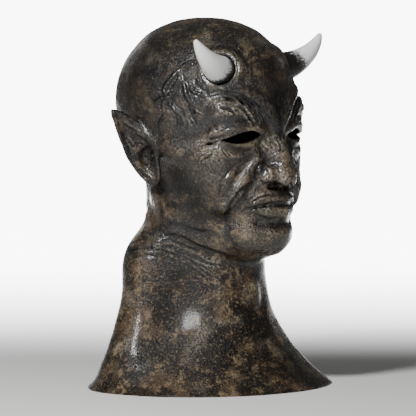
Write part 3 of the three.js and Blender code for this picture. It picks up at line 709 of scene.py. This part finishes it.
def near_strokes(reach, widest):
    """A test for points within one to two reaches of a stroke that is no wider than the given width."""
    lines = [path * (side, 1, 1) for _, width, _, path in STROKES for side in (1, -1) if width <= widest]
    marks = np.concatenate([smooth_rows(line, 5) for line in lines]).T
    def cell(p):
        i, j, k = np.floor(p / reach).astype(int) + 100
        return (i * 1000 + j) * 1000 + k
    marked = np.unique([cell(marks + reach * step[:, None]) for step in CUBE])
    return lambda p: np.isin(cell(p), marked)

near_lines, on_fine_lines = near_strokes(5, 9), near_strokes(1.8, 1.5)

def round_features(p):
    r, h = about_horn(np.stack([np.abs(p[0]), p[1], p[2]]))
    collar = (r < 2 * HORN_ROOT) & (np.abs(h) < 12)
    ears = (np.abs(p[0]) > 68) & (p[1] > -8) & (p[2] > 195) & (p[2] < 290)
    return near_lines(p) | collar | ears

def refine(mesh, wanted):
    bm = bmesh.new()
    bm.from_mesh(mesh)
    keep = wanted(np.array([v.co for v in bm.verts]).T)
    edges = [e for e in bm.edges if keep[e.verts[0].index] and keep[e.verts[1].index]]
    bmesh.ops.subdivide_edges(bm, edges=edges, cuts=1, use_grid_fill=True)
    bm.to_mesh(mesh)
    bm.free()

for zone in (round_features, on_fine_lines):
    refine(skin_mesh, zone)
    points, edges = arrays_of(skin_mesh)
    put(skin_mesh, settle(standing, points, edges, rounds=1))
    print("refined:", len(points), "points,", len(skin_mesh.polygons), "faces")

# %% [markdown]
# ## Leathery skin
#
# Between the drawn lines the skin is crinkled all over. Cast latex keeps every mark of the clay, so this
# is real relief, not only shading. Where a smooth random field crosses zero it draws a net of thin
# creases, and two sizes of net, 8 mm and 3.6 mm, look like old leather. It is deepest on the temple, the
# brow, the nose's root and the cheek, and faint on the scalp, the neck and the bib. A third, smooth field
# makes the whole surface swell and sink a little, as clay does under the hand.
#
# Some places are listed, for the leather here and for the painted highlights and painted shade later.
# Each is a short line on the face with a reach, and its effect fades with the distance from that line.

# %% Places on the face
def near_line(p, line, radius):
    path = smooth_rows(line, 3)
    for _ in range(6):
        path = onto(face, path)
    q = np.stack([np.abs(p[:, 0]), p[:, 1], p[:, 2]], 1)
    gap = np.min([np.linalg.norm(q - a, axis=1) for a in path], axis=0)
    return np.exp(-(gap / radius) ** 2)

def near_places(p, places):
    return np.maximum.reduce([near_line(p, *place) for place in places])

CHEEK = [(60, -58, 236), (60, -52, 224), (54, -58, 212)]
LEATHERY = [
    ([(74, -8, 300), (68, -40, 285), (60, -62, 270), (58, -64, 246)], 26),  # temple
    ([(14, -92, 275), (34, -84, 285), (56, -70, 285), (68, -44, 262)], 22),  # brow
    ([(6, -92, 262), (10, -92, 250), (14, -88, 242)], 14),  # nose's root
    (CHEEK, 16),
]
# places of painted highlight, lightened where the light falls
PAINTED_HIGHLIGHT_PLACES = [
    (CHEEK, 16),
    ([(11, -91, 254), (15, -88, 243)], 6),  # side of the nose's root
    ([(58, -60, 249), (68, -46, 247)], 8),  # crow's feet
    ([(26, -82, 152), (15, -92, 151)], 7),  # chin
    ([(37, -74, 174), (33, -76, 168)], 4),  # beside the lip
]
# places of painted shade, darkened where shade falls; coat and sheen also fade there
PAINTED_SHADE_PLACES = [
    ([(0, -82, 312), (0, -88, 292), (0, -92, 272)], 20),  # middle of the forehead
    ([(66, 40, 320), (74, 52, 280), (66, 60, 235)], 48),  # back of the head
    ([(73, -4, 239), (73, 2, 226)], 13),  # before the ear
    ([(27, -80, 244), (41, -75, 241), (52, -66, 243)], 6),  # bag under the eye
    ([(10, -94, 275), (18, -91, 287), (33, -85, 296), (50, -72, 298)], 10),  # frown roll
    ([(76, -4, 208), (68, -28, 200), (60, -40, 192)], 24),  # hollow of the cheek
    ([(44, -54, 318), (46, -55, 318)], 24),  # round the horn
    ([(74, 8, 150), (74, 4, 140)], 15),  # side of the neck
    ([(26, -82, 187), (19, -90, 191), (8, -99, 192.5), (0, -101, 191.5)], 7),  # upper lip
]
print(len(LEATHERY), "leathery,", len(PAINTED_HIGHLIGHT_PLACES), "pale and", len(PAINTED_SHADE_PLACES), "dusky places")

# %% Leather relief
def crinkle(points, wavelength, sharp=0.16):
    spots = [Vector(p) / wavelength for p in points]
    field = np.array([noise.noise(v) + 0.35 * noise.noise(v * 2.3) for v in spots])
    return np.exp(-(field / sharp) ** 2)

def leather_on(points):
    strength = 0.3 + 0.7 * near_places(points, LEATHERY)
    strength *= np.clip((points[:, 2] - 100) / 60, 0.35, 1)
    return -strength * (0.2 * crinkle(points, 8.0) + 0.22 * crinkle(points + 31.7, 3.6)), strength

points, _ = arrays_of(skin_mesh)
normals = slope(whole, points)
normals /= np.linalg.norm(normals, axis=1)[:, None]
relief, *_ = strokes_on(points)
leather, _ = leather_on(points)
swell = 0.7 * np.array([noise.fractal(Vector(p) / 26, 1.0, 2.0, 2) for p in points])
steady = np.clip((points[:, 2] + 1) / 12, 0, 1)  # the cut rim stays flat
put(skin_mesh, points + normals * ((relief + leather + swell) * steady)[:, None])
print("relief from %.1f to %.1f mm" % (relief.min(), relief.max()))

# %% [markdown]
# ## The hollow cast
#
# Latex is poured into the mould and out again, so the inside follows the outside, softened, 3 mm deeper.
# The same field gives it: the surface where the distance is -3 mm. It is cut out of the skin with a
# boolean, and so are the bib's rim, the eye slits and the horns' sockets.

# %% Lining, slits and sockets
WALL = 3
EYE_AT, EYE_WIDTH, EYE_TURN, EYE_DROOP = (41, -80, 252.5), 42, np.radians(29), np.radians(5)
LID_ABOVE, LID_BELOW = (-16, 13), (-1, -11)  # the two curves' handles, from the slit's middle

def backing(p):
    r, h = about_horn(p)
    return np.maximum(r - HORN_ROOT - 2 * WALL, np.abs(h) - HORN_GAP - WALL)

def lining(p):
    hollow = carve(lambda q: face(q) + WALL, WALL, both(backing))
    return np.maximum(hollow(p), -p[2] - BELOW)

lining_box = ((-146, 146), (-128, 128), (-12, 372))
lining_mesh = net_mesh("lining", lining, [grid_lines([(low, 7), (high,)]) for low, high in lining_box])

def prism(name, first_end, last_end):
    n = len(first_end)
    sides = [(i, (i + 1) % n, n + (i + 1) % n, n + i) for i in range(n)]
    caps = [tuple(range(n))[::-1], tuple(range(n, 2 * n))]
    return mesh_of(name, np.concatenate([first_end, last_end]), sides + caps)

def turned(x, y, z, angle):
    return x * np.cos(angle) - y * np.sin(angle), x * np.sin(angle) + y * np.cos(angle), z

def eye_slit(side):
    t = np.linspace(0, 1, 9)
    half = EYE_WIDTH / 2
    chord = np.outer((1 - t) ** 2, (-half, 0)) + np.outer(t * t, (half, 0))
    above, below = (chord + np.outer(2 * t * (1 - t), handle) for handle in (LID_ABOVE, LID_BELOW))
    almond = np.concatenate([above, below[-2:0:-1]])
    x, z, _ = turned(almond[:, 0], almond[:, 1], 0, -EYE_DROOP)
    ends = []
    for deep in (-14, 26):
        ex, ey, ez = turned(x, np.full_like(x, deep), z, EYE_TURN)
        ends.append(np.stack([(ex + EYE_AT[0]) * side, ey + EYE_AT[1], ez + EYE_AT[2]], 1))
    return prism("slit", *ends)

def socket(side, deep=30, sides=48):
    across_1 = np.cross(HORN_AXIS, (0, 0, 1))
    across_1 /= np.linalg.norm(across_1)
    across_2 = np.cross(HORN_AXIS, across_1)
    angle = np.arange(sides) * 2 * np.pi / sides
    circle = np.outer(np.cos(angle), across_1) + np.outer(np.sin(angle), across_2)
    circle = (HORN_ROOT + HORN_GAP) * circle + HORN_LINE[0]
    return prism("socket", *[(circle + HORN_AXIS * h) * (side, 1, 1) for h in (-HORN_GAP, deep)])

def floor_block(half=200, deep=100):
    square = np.array([(-half, -half, 0), (half, -half, 0), (half, half, 0), (-half, half, 0)], float)
    return prism("below", square - (0, 0, deep), square)

# %% Casting
def facing_out(mesh):
    bm = bmesh.new()
    bm.from_mesh(mesh)
    bmesh.ops.recalc_face_normals(bm, faces=bm.faces)
    bmesh.ops.triangulate(bm, faces=bm.faces)
    bm.to_mesh(mesh)
    bm.free()
    return mesh

def cut(mesh, cutters):
    body = bpy.data.objects.new("body", facing_out(mesh))
    bpy.context.scene.collection.objects.link(body)
    tools = []
    for cutter in cutters:
        tool = bpy.data.objects.new("cutter", facing_out(cutter))
        bpy.context.scene.collection.objects.link(tool)
        tools.append(tool)
        boolean = body.modifiers.new("cut", "BOOLEAN")
        boolean.operation, boolean.solver, boolean.object = "DIFFERENCE", "MANIFOLD", tool
    done = bpy.data.meshes.new_from_object(body.evaluated_get(bpy.context.evaluated_depsgraph_get()))
    for thing in [body] + tools:
        bpy.data.objects.remove(thing)
    return done

cutters = [lining_mesh, floor_block()] + [make(side) for make in (eye_slit, socket) for side in (1, -1)]
cast = cut(skin_mesh, cutters)
print("cast:", len(cast.vertices), "points,", len(cast.polygons), "triangles")

# %% [markdown]
# ## Painted shade and painted highlights
#
# Painted shade darkens the hollows and painted highlights lighten what stands proud, laid as a wash and a
# dry brush would lie. Both follow the shape, and the clay's field knows it: on a sphere round a point its
# mean is positive on a fold and negative in a hollow. Spheres of 4 mm and 9 mm catch fine and broad forms.
# The strokes add their own relief, painted shade, dark lines and vein paint, and the places of painted
# highlight and painted shade are listed. These numbers are stored on the mesh's points, where the paint
# reads them.

# %% Paint guides
def bulge(points, reach):
    """The field's mean on a small sphere round each point: above zero on a fold, below it in a hollow."""
    p = points.T.astype(np.float32)
    return sum(whole(p + reach * sign * d[:, None] / size(*TETRA[0])) for d in TETRA for sign in (1, -1)) / 8

points, _ = arrays_of(cast)
relief, in_veins, painted_shade_and_lines, vein = strokes_on(points)
relief -= in_veins
leather, strength = leather_on(points)
on_ear = np.clip(2 - both(ear)(points.T.astype(np.float32)), 0, 1)
near_form = bulge(points, 4) * (1 - 0.8 * on_ear)
wide_form = bulge(points, 9) * (1 - 0.9 * on_ear)
# painted shade on the listed places and, more faintly, on the ears
painted_shade = np.maximum(near_places(points, PAINTED_SHADE_PLACES), 0.6 * on_ear)
# painted highlight: tan on broad raised forms, laid like a dry brush, and on the listed lit places
raised_highlight = np.maximum(np.clip((wide_form - 0.5) / 1.2, 0, 1), near_places(points, PAINTED_HIGHLIGHT_PLACES))
# painted highlight: bone on the strokes' raised lips and on small proud forms, laid like a dry brush
proud_highlight = np.clip(relief / 0.35, 0, 1) * 0.6 + np.clip((near_form - 0.2) / 0.6, 0, 1) * 0.5
guides = {
    # painted shade in small hollows and in the strokes' grooves and folds
    "hollow": np.clip(-near_form / 0.4, 0, 1) * 0.12 + np.clip(-relief / 0.6, 0, 1) * 0.6,
    "proud_highlight": proud_highlight * (1 - 0.7 * painted_shade),
    # painted shade in the strokes' creases, under the nose, in the ear and in the leather's creases, plus
    # dark scalp lines
    "painted_shade_and_lines": np.maximum(painted_shade_and_lines, 0.7 * np.clip(-leather / 0.3, 0, 1)),
    "vein": vein,
    "glaze": strength,
    "raised_highlight": raised_highlight * (1 - 0.8 * painted_shade),
    "painted_shade": painted_shade,
}
for name, values in guides.items():
    layer = cast.attributes.new(name, "FLOAT", "POINT")
    layer.data.foreach_set("value", np.clip(values, 0, 1).astype(np.float32))
    print(name, "mean %.2f" % np.clip(values, 0, 1).mean())

# %% [markdown]
# ## Paint on latex
#
# Latex paint dries satin under a thin clear coat. The base is near-black brown. Warm brown, tan and black
# are sponged over it in ragged patches of 26, 14 and 38 mm, and black and tan are spattered on as grains
# of about 2 mm. Painted shade darkens the listed places and a grey glaze lies on the leathery ones. Painted
# highlights are laid like a dry brush: tan on what is raised and on the listed lit places, bone on what
# stands proud. Painted shade in hollows and creases, the dark lines on the scalp and the veins end nearly
# black.
#
# Noise in the roughness breaks the gloss. Two fine bumps, crackle of 3.4 mm and pores of 2.4 mm, give the
# glints of leather, and the coat has a weaker bump of its own, so that its glints stay crisp. Real pores
# are finer than that, but finer ones wouldn't show in the picture. Coat and sheen fade on the places of
# painted shade and on the bib.

# %% Material tools
MATH, VECTOR_MATH, SPLIT = "ShaderNodeMath", "ShaderNodeVectorMath", "ShaderNodeSeparateXYZ"
MIX, NOISE, REMAP, BUMP = "ShaderNodeMix", "ShaderNodeTexNoise", "ShaderNodeMapRange", "ShaderNodeBump"
SHADER, OUTPUT = "ShaderNodeBsdfPrincipled", "ShaderNodeOutputMaterial"

def colour(hex_value):
    parts = [int(hex_value[i : i + 2], 16) / 255 for i in (1, 3, 5)]
    return (*[c / 12.92 if c <= 0.04045 else ((c + 0.055) / 1.055) ** 2.4 for c in parts], 1.0)

def per_mm(size_mm):
    return 1000 / size_mm

def new_material(name):
    material = bpy.data.materials.new(name)
    material.use_nodes = True
    material.node_tree.nodes.clear()
    return material, material.node_tree

def node(tree, kind, links=(), out=0, **settings):
    """Add a node with its settings and inputs. It hands back one output, or all of them for out=None."""
    made = tree.nodes.new(kind)
    for key, value in settings.items():
        setattr(made, key, value)
    for key, value in links.items() if isinstance(links, dict) else enumerate(links):
        if isinstance(value, bpy.types.NodeSocket):
            tree.links.new(value, made.inputs[key])
        else:
            made.inputs[key].default_value = value
    return made.outputs if out is None else made.outputs[out]

# %% Sponged colours, brushed colours, painted highlight and painted shade
SPONGED = [
    # colour, size in mm, detail, roughness, where the noise starts and ends, amount
    ("#4a3b2b", 26, 8, 0.72, (0.48, 0.53), 0.95),  # warm brown patches
    ("#7f6e54", 14, 8, 0.8, (0.53, 0.57), 0.85),  # tan dabs
    ("#0e0d0b", 38, 8, 0.75, (0.49, 0.52), 0.92),  # black clouds
    ("#0a0807", 1.7, 4, 0.75, (0.5, 0.62), 0.85),  # black grains
    ("#8f7c60", 2.0, 3, 0.7, (0.57, 0.66), 0.7),  # tan grains
]
# painted shade on listed places, in hollows and creases, painted highlights on raised and proud forms; glaze
# and veins are paint
BRUSHED_AND_PAINTED_LIGHT = [
    # guide, colour, amount, where the brush's streaks start and end, if it leaves any
    ("painted_shade", "#151412", 0.8, (0.3, 0.5)),
    ("glaze", "#37363a", 0.8, (0, 1)),
    ("raised_highlight", "#80725c", 0.65, (0.44, 0.54)),
    ("proud_highlight", "#aaa08c", 0.9, (0.45, 0.53)),
    ("hollow", "#060504", 0.9, None),
    ("painted_shade_and_lines", "#040303", 0.95, None),
    ("vein", "#060608", 0.9, None),
]
painted_latex, tree = new_material("painted_latex")
where = node(tree, "ShaderNodeTexCoord", out="Object")
paint = colour("#1c1a16")
for tone, patch, detail, rough, (low, high), amount in SPONGED:
    pattern = node(tree, NOISE, {
        "Vector": where, "Scale": per_mm(patch), "Detail": detail, "Roughness": rough})
    mask = node(tree, REMAP, {"Value": pattern, "From Min": low, "From Max": high, "To Max": amount},
                interpolation_type="SMOOTHSTEP")
    paint = node(tree, MIX, {0: mask, 6: paint, 7: colour(tone)}, out=2, data_type="RGBA")

streaks = node(tree, NOISE, {"Vector": where, "Scale": per_mm(2.2), "Detail": 5, "Roughness": 0.75})
guide = {name: node(tree, "ShaderNodeAttribute", out="Fac", attribute_name=name) for name in guides}
for name, tone, amount, streaky in BRUSHED_AND_PAINTED_LIGHT:
    mask = node(tree, MATH, (guide[name], amount), operation="MULTIPLY")
    if streaky:
        broken = node(tree, REMAP, {"Value": streaks, "From Min": streaky[0], "From Max": streaky[1]})
        mask = node(tree, MATH, (mask, broken), operation="MULTIPLY")
    paint = node(tree, MIX, {0: mask, 6: paint, 7: colour(tone)}, out=2, data_type="RGBA")
print("painted_latex:", len(SPONGED), "sponged and", len(BRUSHED_AND_PAINTED_LIGHT), "brushed colours")

# %% Gloss and grain of painted latex
gloss = node(tree, REMAP, {"Value": streaks, "From Min": 0.3, "From Max": 0.7, "To Min": 0.2, "To Max": 0.42})
crackle = node(tree, "ShaderNodeTexVoronoi", {"Vector": where, "Scale": per_mm(3.4)},
               feature="DISTANCE_TO_EDGE")
crackle = node(tree, REMAP, {"Value": crackle, "From Min": 0, "From Max": 0.25})
pores = node(tree, NOISE, {"Vector": where, "Scale": per_mm(2.4), "Detail": 4, "Roughness": 0.6})
lacquer = node(tree, BUMP, {"Strength": 0.6, "Distance": 0.3 * MM, "Height": pores})
bump = node(tree, BUMP, {"Strength": 0.6, "Distance": 0.4 * MM, "Height": crackle})
bump = node(tree, BUMP, {"Strength": 0.9, "Distance": 1 * MM, "Height": pores, "Normal": bump})
above = node(tree, SPLIT, (where,), out="Z")
on_bib = node(tree, REMAP, {
    "Value": above, "From Min": 80 * MM, "From Max": 140 * MM, "To Min": 0.9, "To Max": 0})
dull = node(tree, MATH, (guide["painted_shade"], on_bib), operation="MAXIMUM")
coat = node(tree, REMAP, {"Value": dull, "To Min": 0.55, "To Max": 0.08})
sheen = node(tree, REMAP, {"Value": dull, "To Min": 0.5, "To Max": 0.25})
shader = node(tree, SHADER, {
    "Base Color": paint, "Roughness": gloss, "IOR": 1.45, "Specular IOR Level": sheen, "Normal": bump,
    "Coat Weight": coat, "Coat Roughness": 0.09, "Coat IOR": 1.45, "Coat Normal": lacquer})
node(tree, OUTPUT, {"Surface": shader}, out=None)

# %% [markdown]
# The inside is bare latex, tinted black before casting. It is dull and slightly uneven, with no paint on
# it, so it gets a short material of its own.

# %% Bare latex
bare_latex, tree = new_material("bare_latex")
where = node(tree, "ShaderNodeTexCoord", out="Object")
uneven = node(tree, NOISE, {"Vector": where, "Scale": per_mm(9), "Detail": 4})
tint = node(tree, MIX, {0: uneven, 6: colour("#17130f"), 7: colour("#2b241e")}, out=2, data_type="RGBA")
bump = node(tree, BUMP, {"Strength": 0.4, "Distance": 0.8 * MM, "Height": uneven})
shader = node(tree, SHADER, {"Base Color": tint, "Roughness": 0.62, "Normal": bump})
node(tree, OUTPUT, {"Surface": shader}, out=None)

# %% The skin piece
HALF_WALL = WALL / 2
centres = np.zeros(len(cast.polygons) * 3, np.float32)
cast.polygons.foreach_get("center", centres)
lined = whole(centres.reshape(-1, 3).T) < -HALF_WALL - 0.1
cast.materials.clear()
for material in (painted_latex, bare_latex):
    cast.materials.append(material)
cast.polygons.foreach_set("material_index", lined.astype(np.int32))
cast.polygons.foreach_set("use_smooth", np.ones(len(cast.polygons), bool))
put(cast, arrays_of(cast)[0] * MM)
cast.update()
skin = bpy.data.objects.new("mask_skin", cast)
bpy.context.scene.collection.objects.link(skin)
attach(skin, "root")
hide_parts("skin")
print("skin:", len(cast.polygons), "triangles,", int(lined.sum()), "inside")

# %% [markdown]
# ## Horns
#
# Each horn is cast resin. Its shape follows a rule, a round section that thins along a curve, so Geometry
# Nodes make it: a cylinder's rings are moved along a Bezier curve, each turned to the curve and scaled to
# its radius. At the root the rings face along the socket's axis, and they turn into the curve's own
# direction over the first seventh. Faint growth rings come from a wave in the radius.

# %% Horn tree
HORN_INPUTS = [
    ("Root radius", "NodeSocketFloat", HORN_ROOT * MM),
    ("Tip radius", "NodeSocketFloat", HORN_TIP * MM),
    ("Growth ring depth", "NodeSocketFloat", 0.12 * MM),
    ("Growth rings", "NodeSocketFloat", 17.0),
    ("Sides", "NodeSocketInt", 72),
    ("Rings", "NodeSocketInt", 110),
    ("Root", "NodeSocketVector", (0, 0, 0)),
    ("Handle 1", "NodeSocketVector", (0, 0, 0)),
    ("Handle 2", "NodeSocketVector", (0, 0, 0)),
    ("Tip", "NodeSocketVector", (0, 0, 0)),
    ("Axis", "NodeSocketVector", (0, 0, 1)),
]

def horn_tree(material):
    tree = bpy.data.node_groups.new("horn", "GeometryNodeTree")
    tree.interface.new_socket("Geometry", in_out="OUTPUT", socket_type="NodeSocketGeometry")
    sockets = {}
    for name, kind, value in HORN_INPUTS:
        item = tree.interface.new_socket(name, in_out="INPUT", socket_type=kind)
        item.default_value = value
        sockets[name] = item.identifier
    given = node(tree, "NodeGroupInput", out=None)

    # the curve, and a tube of unit size whose height says how far along the horn a point is
    curve = node(tree, "GeometryNodeCurvePrimitiveBezierSegment", {
        "Resolution": 96, "Start": given["Root"], "Start Handle": given["Handle 1"],
        "End Handle": given["Handle 2"], "End": given["Tip"]}, mode="POSITION")
    tube = node(tree, "GeometryNodeMeshCylinder", {
        "Vertices": given["Sides"], "Side Segments": given["Rings"], "Radius": 1.0, "Depth": 1.0},
        fill_type="TRIANGLE_FAN")
    here = node(tree, SPLIT, (node(tree, "GeometryNodeInputPosition"),), out=None)
    along = node(tree, MATH, (here["Z"], 0.5), operation="ADD")
    before_tip = node(tree, MATH, (1.0, along), operation="SUBTRACT")
    on_line = node(tree, "GeometryNodeSampleCurve", {"Curves": curve, "Factor": along}, out=None,
                   mode="FACTOR", use_all_curves=True)

    # the ring's own directions
    turning = node(tree, MATH, (along, 7.0), operation="MULTIPLY")
    turning = node(tree, MATH, (turning, 1.0), operation="MINIMUM")
    heading = node(tree, MIX, {0: turning, 4: given["Axis"], 5: on_line["Tangent"]}, out=1,
                   data_type="VECTOR")
    heading = node(tree, VECTOR_MATH, (heading,), operation="NORMALIZE")
    level = node(tree, VECTOR_MATH, (given["Axis"], (0, 0, 1)), operation="CROSS_PRODUCT")
    level = node(tree, VECTOR_MATH, (level, heading), operation="CROSS_PRODUCT")
    level = node(tree, VECTOR_MATH, (heading, level), operation="CROSS_PRODUCT")
    level = node(tree, VECTOR_MATH, (level,), operation="NORMALIZE")
    over = node(tree, VECTOR_MATH, (heading, level), operation="CROSS_PRODUCT")

    # the radius: it thins towards the tip, with a wave for the growth rings
    slim = node(tree, MATH, (before_tip, HORN_TAPER), operation="POWER")
    at_tip = node(tree, MATH, (given["Tip radius"], along), operation="MULTIPLY")
    radius = node(tree, MATH, (given["Root radius"], slim, at_tip), operation="MULTIPLY_ADD")
    turns = node(tree, MATH, (given["Growth rings"], 2 * np.pi), operation="MULTIPLY")
    wave = node(tree, MATH, (turns, along), operation="MULTIPLY")
    wave = node(tree, MATH, (wave,), operation="SINE")
    wave = node(tree, MATH, (given["Growth ring depth"], wave), operation="MULTIPLY")
    fade = node(tree, MATH, (along, 8.0), operation="MULTIPLY")
    fade = node(tree, MATH, (fade, 1.0), operation="MINIMUM")
    fade = node(tree, MATH, (before_tip, fade), operation="MULTIPLY")
    radius = node(tree, MATH, (wave, fade, radius), operation="MULTIPLY_ADD")

    # every point goes to its place on its ring
    spot = on_line["Position"]
    for way, part in ((level, here["X"]), (over, here["Y"])):
        reach = node(tree, MATH, (radius, part), operation="MULTIPLY")
        way = node(tree, VECTOR_MATH, {0: way, "Scale": reach}, operation="SCALE")
        spot = node(tree, VECTOR_MATH, (spot, way), operation="ADD")
    shape = node(tree, "GeometryNodeSetPosition", {"Geometry": tube, "Position": spot})
    shape = node(tree, "GeometryNodeRealizeInstances", {"Geometry": shape})
    shape = node(tree, "GeometryNodeSetMaterial", {"Geometry": shape, "Material": material})
    node(tree, "NodeGroupOutput", {"Geometry": shape}, out=None)
    return tree, sockets

# %% [markdown]
# The horns are sprayed satin bone white, and the airbrush leaves the roots nearly black, with a speckled
# edge. The paint fades along the horn, so the material measures the height over the horn's root. The dark
# reaches further up underneath, and 16 mm further on the left horn.

# %% Horn paint
horn_paint, tree = new_material("bone_white_enamel")
where = node(tree, "ShaderNodeTexCoord", out="Object")
folded = node(tree, VECTOR_MATH, (where,), operation="ABSOLUTE")
folded = node(tree, VECTOR_MATH, (folded, (1, -1, 1)), operation="MULTIPLY")
from_root = node(tree, VECTOR_MATH, (folded, tuple(HORN_LINE[0] * MM)), operation="SUBTRACT")
height = node(tree, VECTOR_MATH, (from_root, tuple(HORN_AXIS)), out="Value", operation="DOT_PRODUCT")
under = node(tree, VECTOR_MATH, (from_root, (-0.35, -0.35, -0.6)), out="Value", operation="DOT_PRODUCT")
height = node(tree, MATH, (height, under), operation="SUBTRACT")
on_left = node(tree, SPLIT, (where,), out="X")
on_left = node(tree, MATH, (on_left, 0.0), operation="GREATER_THAN")
height = node(tree, MATH, (on_left, -16 * MM, height), operation="MULTIPLY_ADD")
specks = node(tree, NOISE, {"Vector": where, "Scale": per_mm(1.6), "Detail": 5, "Roughness": 0.85})
drift = node(tree, NOISE, {"Vector": where, "Scale": per_mm(9), "Detail": 2})
ragged = node(tree, MATH, (specks, 70 * MM, height), operation="MULTIPLY_ADD")
ragged = node(tree, MATH, (drift, 14 * MM, ragged), operation="MULTIPLY_ADD")
dark = node(tree, REMAP, {
    "Value": ragged, "From Min": 50 * MM, "From Max": 56 * MM, "To Min": 1, "To Max": 0})
bone_white = node(tree, MIX, {0: drift, 6: colour("#fbfbfa"), 7: colour("#ebecea")}, out=2, data_type="RGBA")
horn_tone = node(tree, MIX, {0: dark, 6: bone_white, 7: colour("#14110f")}, out=2, data_type="RGBA")
bump = node(tree, BUMP, {"Strength": 0.25, "Distance": 0.2 * MM, "Height": specks})
shader = node(tree, SHADER, {
    "Base Color": horn_tone, "Roughness": 0.38, "IOR": 1.5, "Normal": bump,
    "Coat Weight": 0.2, "Coat Roughness": 0.2})
node(tree, OUTPUT, {"Surface": shader}, out=None)

# %% Horn pieces
tree, sockets = horn_tree(horn_paint)
for name, side in (("horn_left", 1), ("horn_right", -1)):
    carrier = bpy.data.objects.new(name + "_carrier", bpy.data.meshes.new("empty"))
    bpy.context.scene.collection.objects.link(carrier)
    modifier = carrier.modifiers.new("horn", "NODES")
    modifier.node_group = tree
    spots = {"Axis": HORN_AXIS, **dict(zip(("Root", "Handle 1", "Handle 2", "Tip"), HORN_LINE * MM))}
    for key, value in spots.items():
        modifier[sockets[key]] = [float(c) for c in value * (side, 1, 1)]
    mesh = bpy.data.meshes.new_from_object(carrier.evaluated_get(bpy.context.evaluated_depsgraph_get()))
    bpy.data.objects.remove(carrier)
    bm = bmesh.new()
    bm.from_mesh(mesh)
    bmesh.ops.remove_doubles(bm, verts=bm.verts, dist=1e-6)
    bmesh.ops.recalc_face_normals(bm, faces=bm.faces)
    bm.to_mesh(mesh)
    bm.free()
    mesh.polygons.foreach_set("use_smooth", np.ones(len(mesh.polygons), bool))
    piece = bpy.data.objects.new("mask_" + name, mesh)
    bpy.context.scene.collection.objects.link(piece)
    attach(piece, "root")
    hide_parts(name)
    print(name, len(mesh.polygons), "faces")

# %% [markdown]
# ## Studio
#
# The photograph has a white surround, so a pale floor lies under the mask, and floor and sky glow behind
# it, as a lit white backdrop does. They glow only where the camera looks, in a narrow strip and a narrow
# cone, because dark glossy latex mirrors all that is bright and a wide glow would veil its edges.
#
# The form shows by what it reflects. A small key light, high on the mask's right, gives crisp glints on
# brow, cheek and temple. A wide, weak fill opens the shadows, and two weak lights from behind draw a thin
# bright edge on both sides.

# %% Floor
floor_mesh = mesh_of("floor", [(-6, -6, 0), (6, -6, 0), (6, 6, 0), (-6, 6, 0)], [(0, 1, 2, 3)])
floor = bpy.data.objects.new("studio_floor", floor_mesh)
bpy.context.scene.collection.objects.link(floor)
studio_paper, tree = new_material("studio_paper")
where = node(tree, "ShaderNodeTexCoord", out="Object")
behind = node(tree, VECTOR_MATH, (where, tuple(-BACK)), out="Value", operation="DOT_PRODUCT")
lit = node(tree, REMAP, {"Value": behind, "From Min": 0.2, "From Max": 1.5, "To Max": 9},
           interpolation_type="SMOOTHSTEP")
beside = node(tree, VECTOR_MATH, (where, tuple(RIGHT)), out="Value", operation="DOT_PRODUCT")
beside = node(tree, MATH, (beside,), operation="ABSOLUTE")
strip = node(tree, REMAP, {"Value": beside, "From Min": 0.5, "From Max": 0.8, "To Min": 1, "To Max": 0},
             interpolation_type="SMOOTHSTEP")
lit = node(tree, MATH, (lit, strip), operation="MULTIPLY")
shader = node(tree, SHADER, {
    "Base Color": colour("#ededeb"), "Roughness": 0.9,
    "Emission Color": (1, 1, 1, 1), "Emission Strength": lit})
node(tree, OUTPUT, {"Surface": shader}, out=None)
floor_mesh.materials.append(studio_paper)
floor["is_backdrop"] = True

# %% Sky and lights
world = bpy.data.worlds.new("studio")
world.use_nodes = True
bpy.context.scene.world = world
sky = world.node_tree
way_out = node(sky, "ShaderNodeTexCoord", out="Generated")
behind = node(sky, VECTOR_MATH, (way_out, tuple(-BACK)), out="Value", operation="DOT_PRODUCT")
glow = node(sky, REMAP, {"Value": behind, "From Min": 0.99, "From Max": 0.998, "To Min": 0.09, "To Max": 9},
            interpolation_type="SMOOTHSTEP")
sky.links.new(glow, sky.nodes["Background"].inputs["Strength"])
sky.nodes["Background"].inputs["Color"].default_value = (1, 1, 1, 1)

def softbox(name, azimuth, elevation, distance, width, power):
    way = direction(azimuth, elevation)
    data = bpy.data.lights.new(name, "AREA")
    data.size, data.energy = width, power
    light = bpy.data.objects.new(name, data)
    light.location = AIM * MM + way * distance
    light.rotation_euler = Vector(-way).to_track_quat("-Z", "Y").to_euler()
    bpy.context.scene.collection.objects.link(light)
    print(name, "light at", np.round(light.location, 2))

softbox("key", -74, 38, 1.6, 0.22, 32)
softbox("fill", -30, 12, 2.4, 0.8, 5)
softbox("rim_left", -205, 15, 1.8, 0.4, 1)
softbox("rim_right", 104, -3, 1.8, 0.15, 0.45)

boxes = [[[float(c) for c in corner] for corner in box] for box in (cad_box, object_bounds())]
[[float(c) for c in corner] for box in boxes for corner in box]
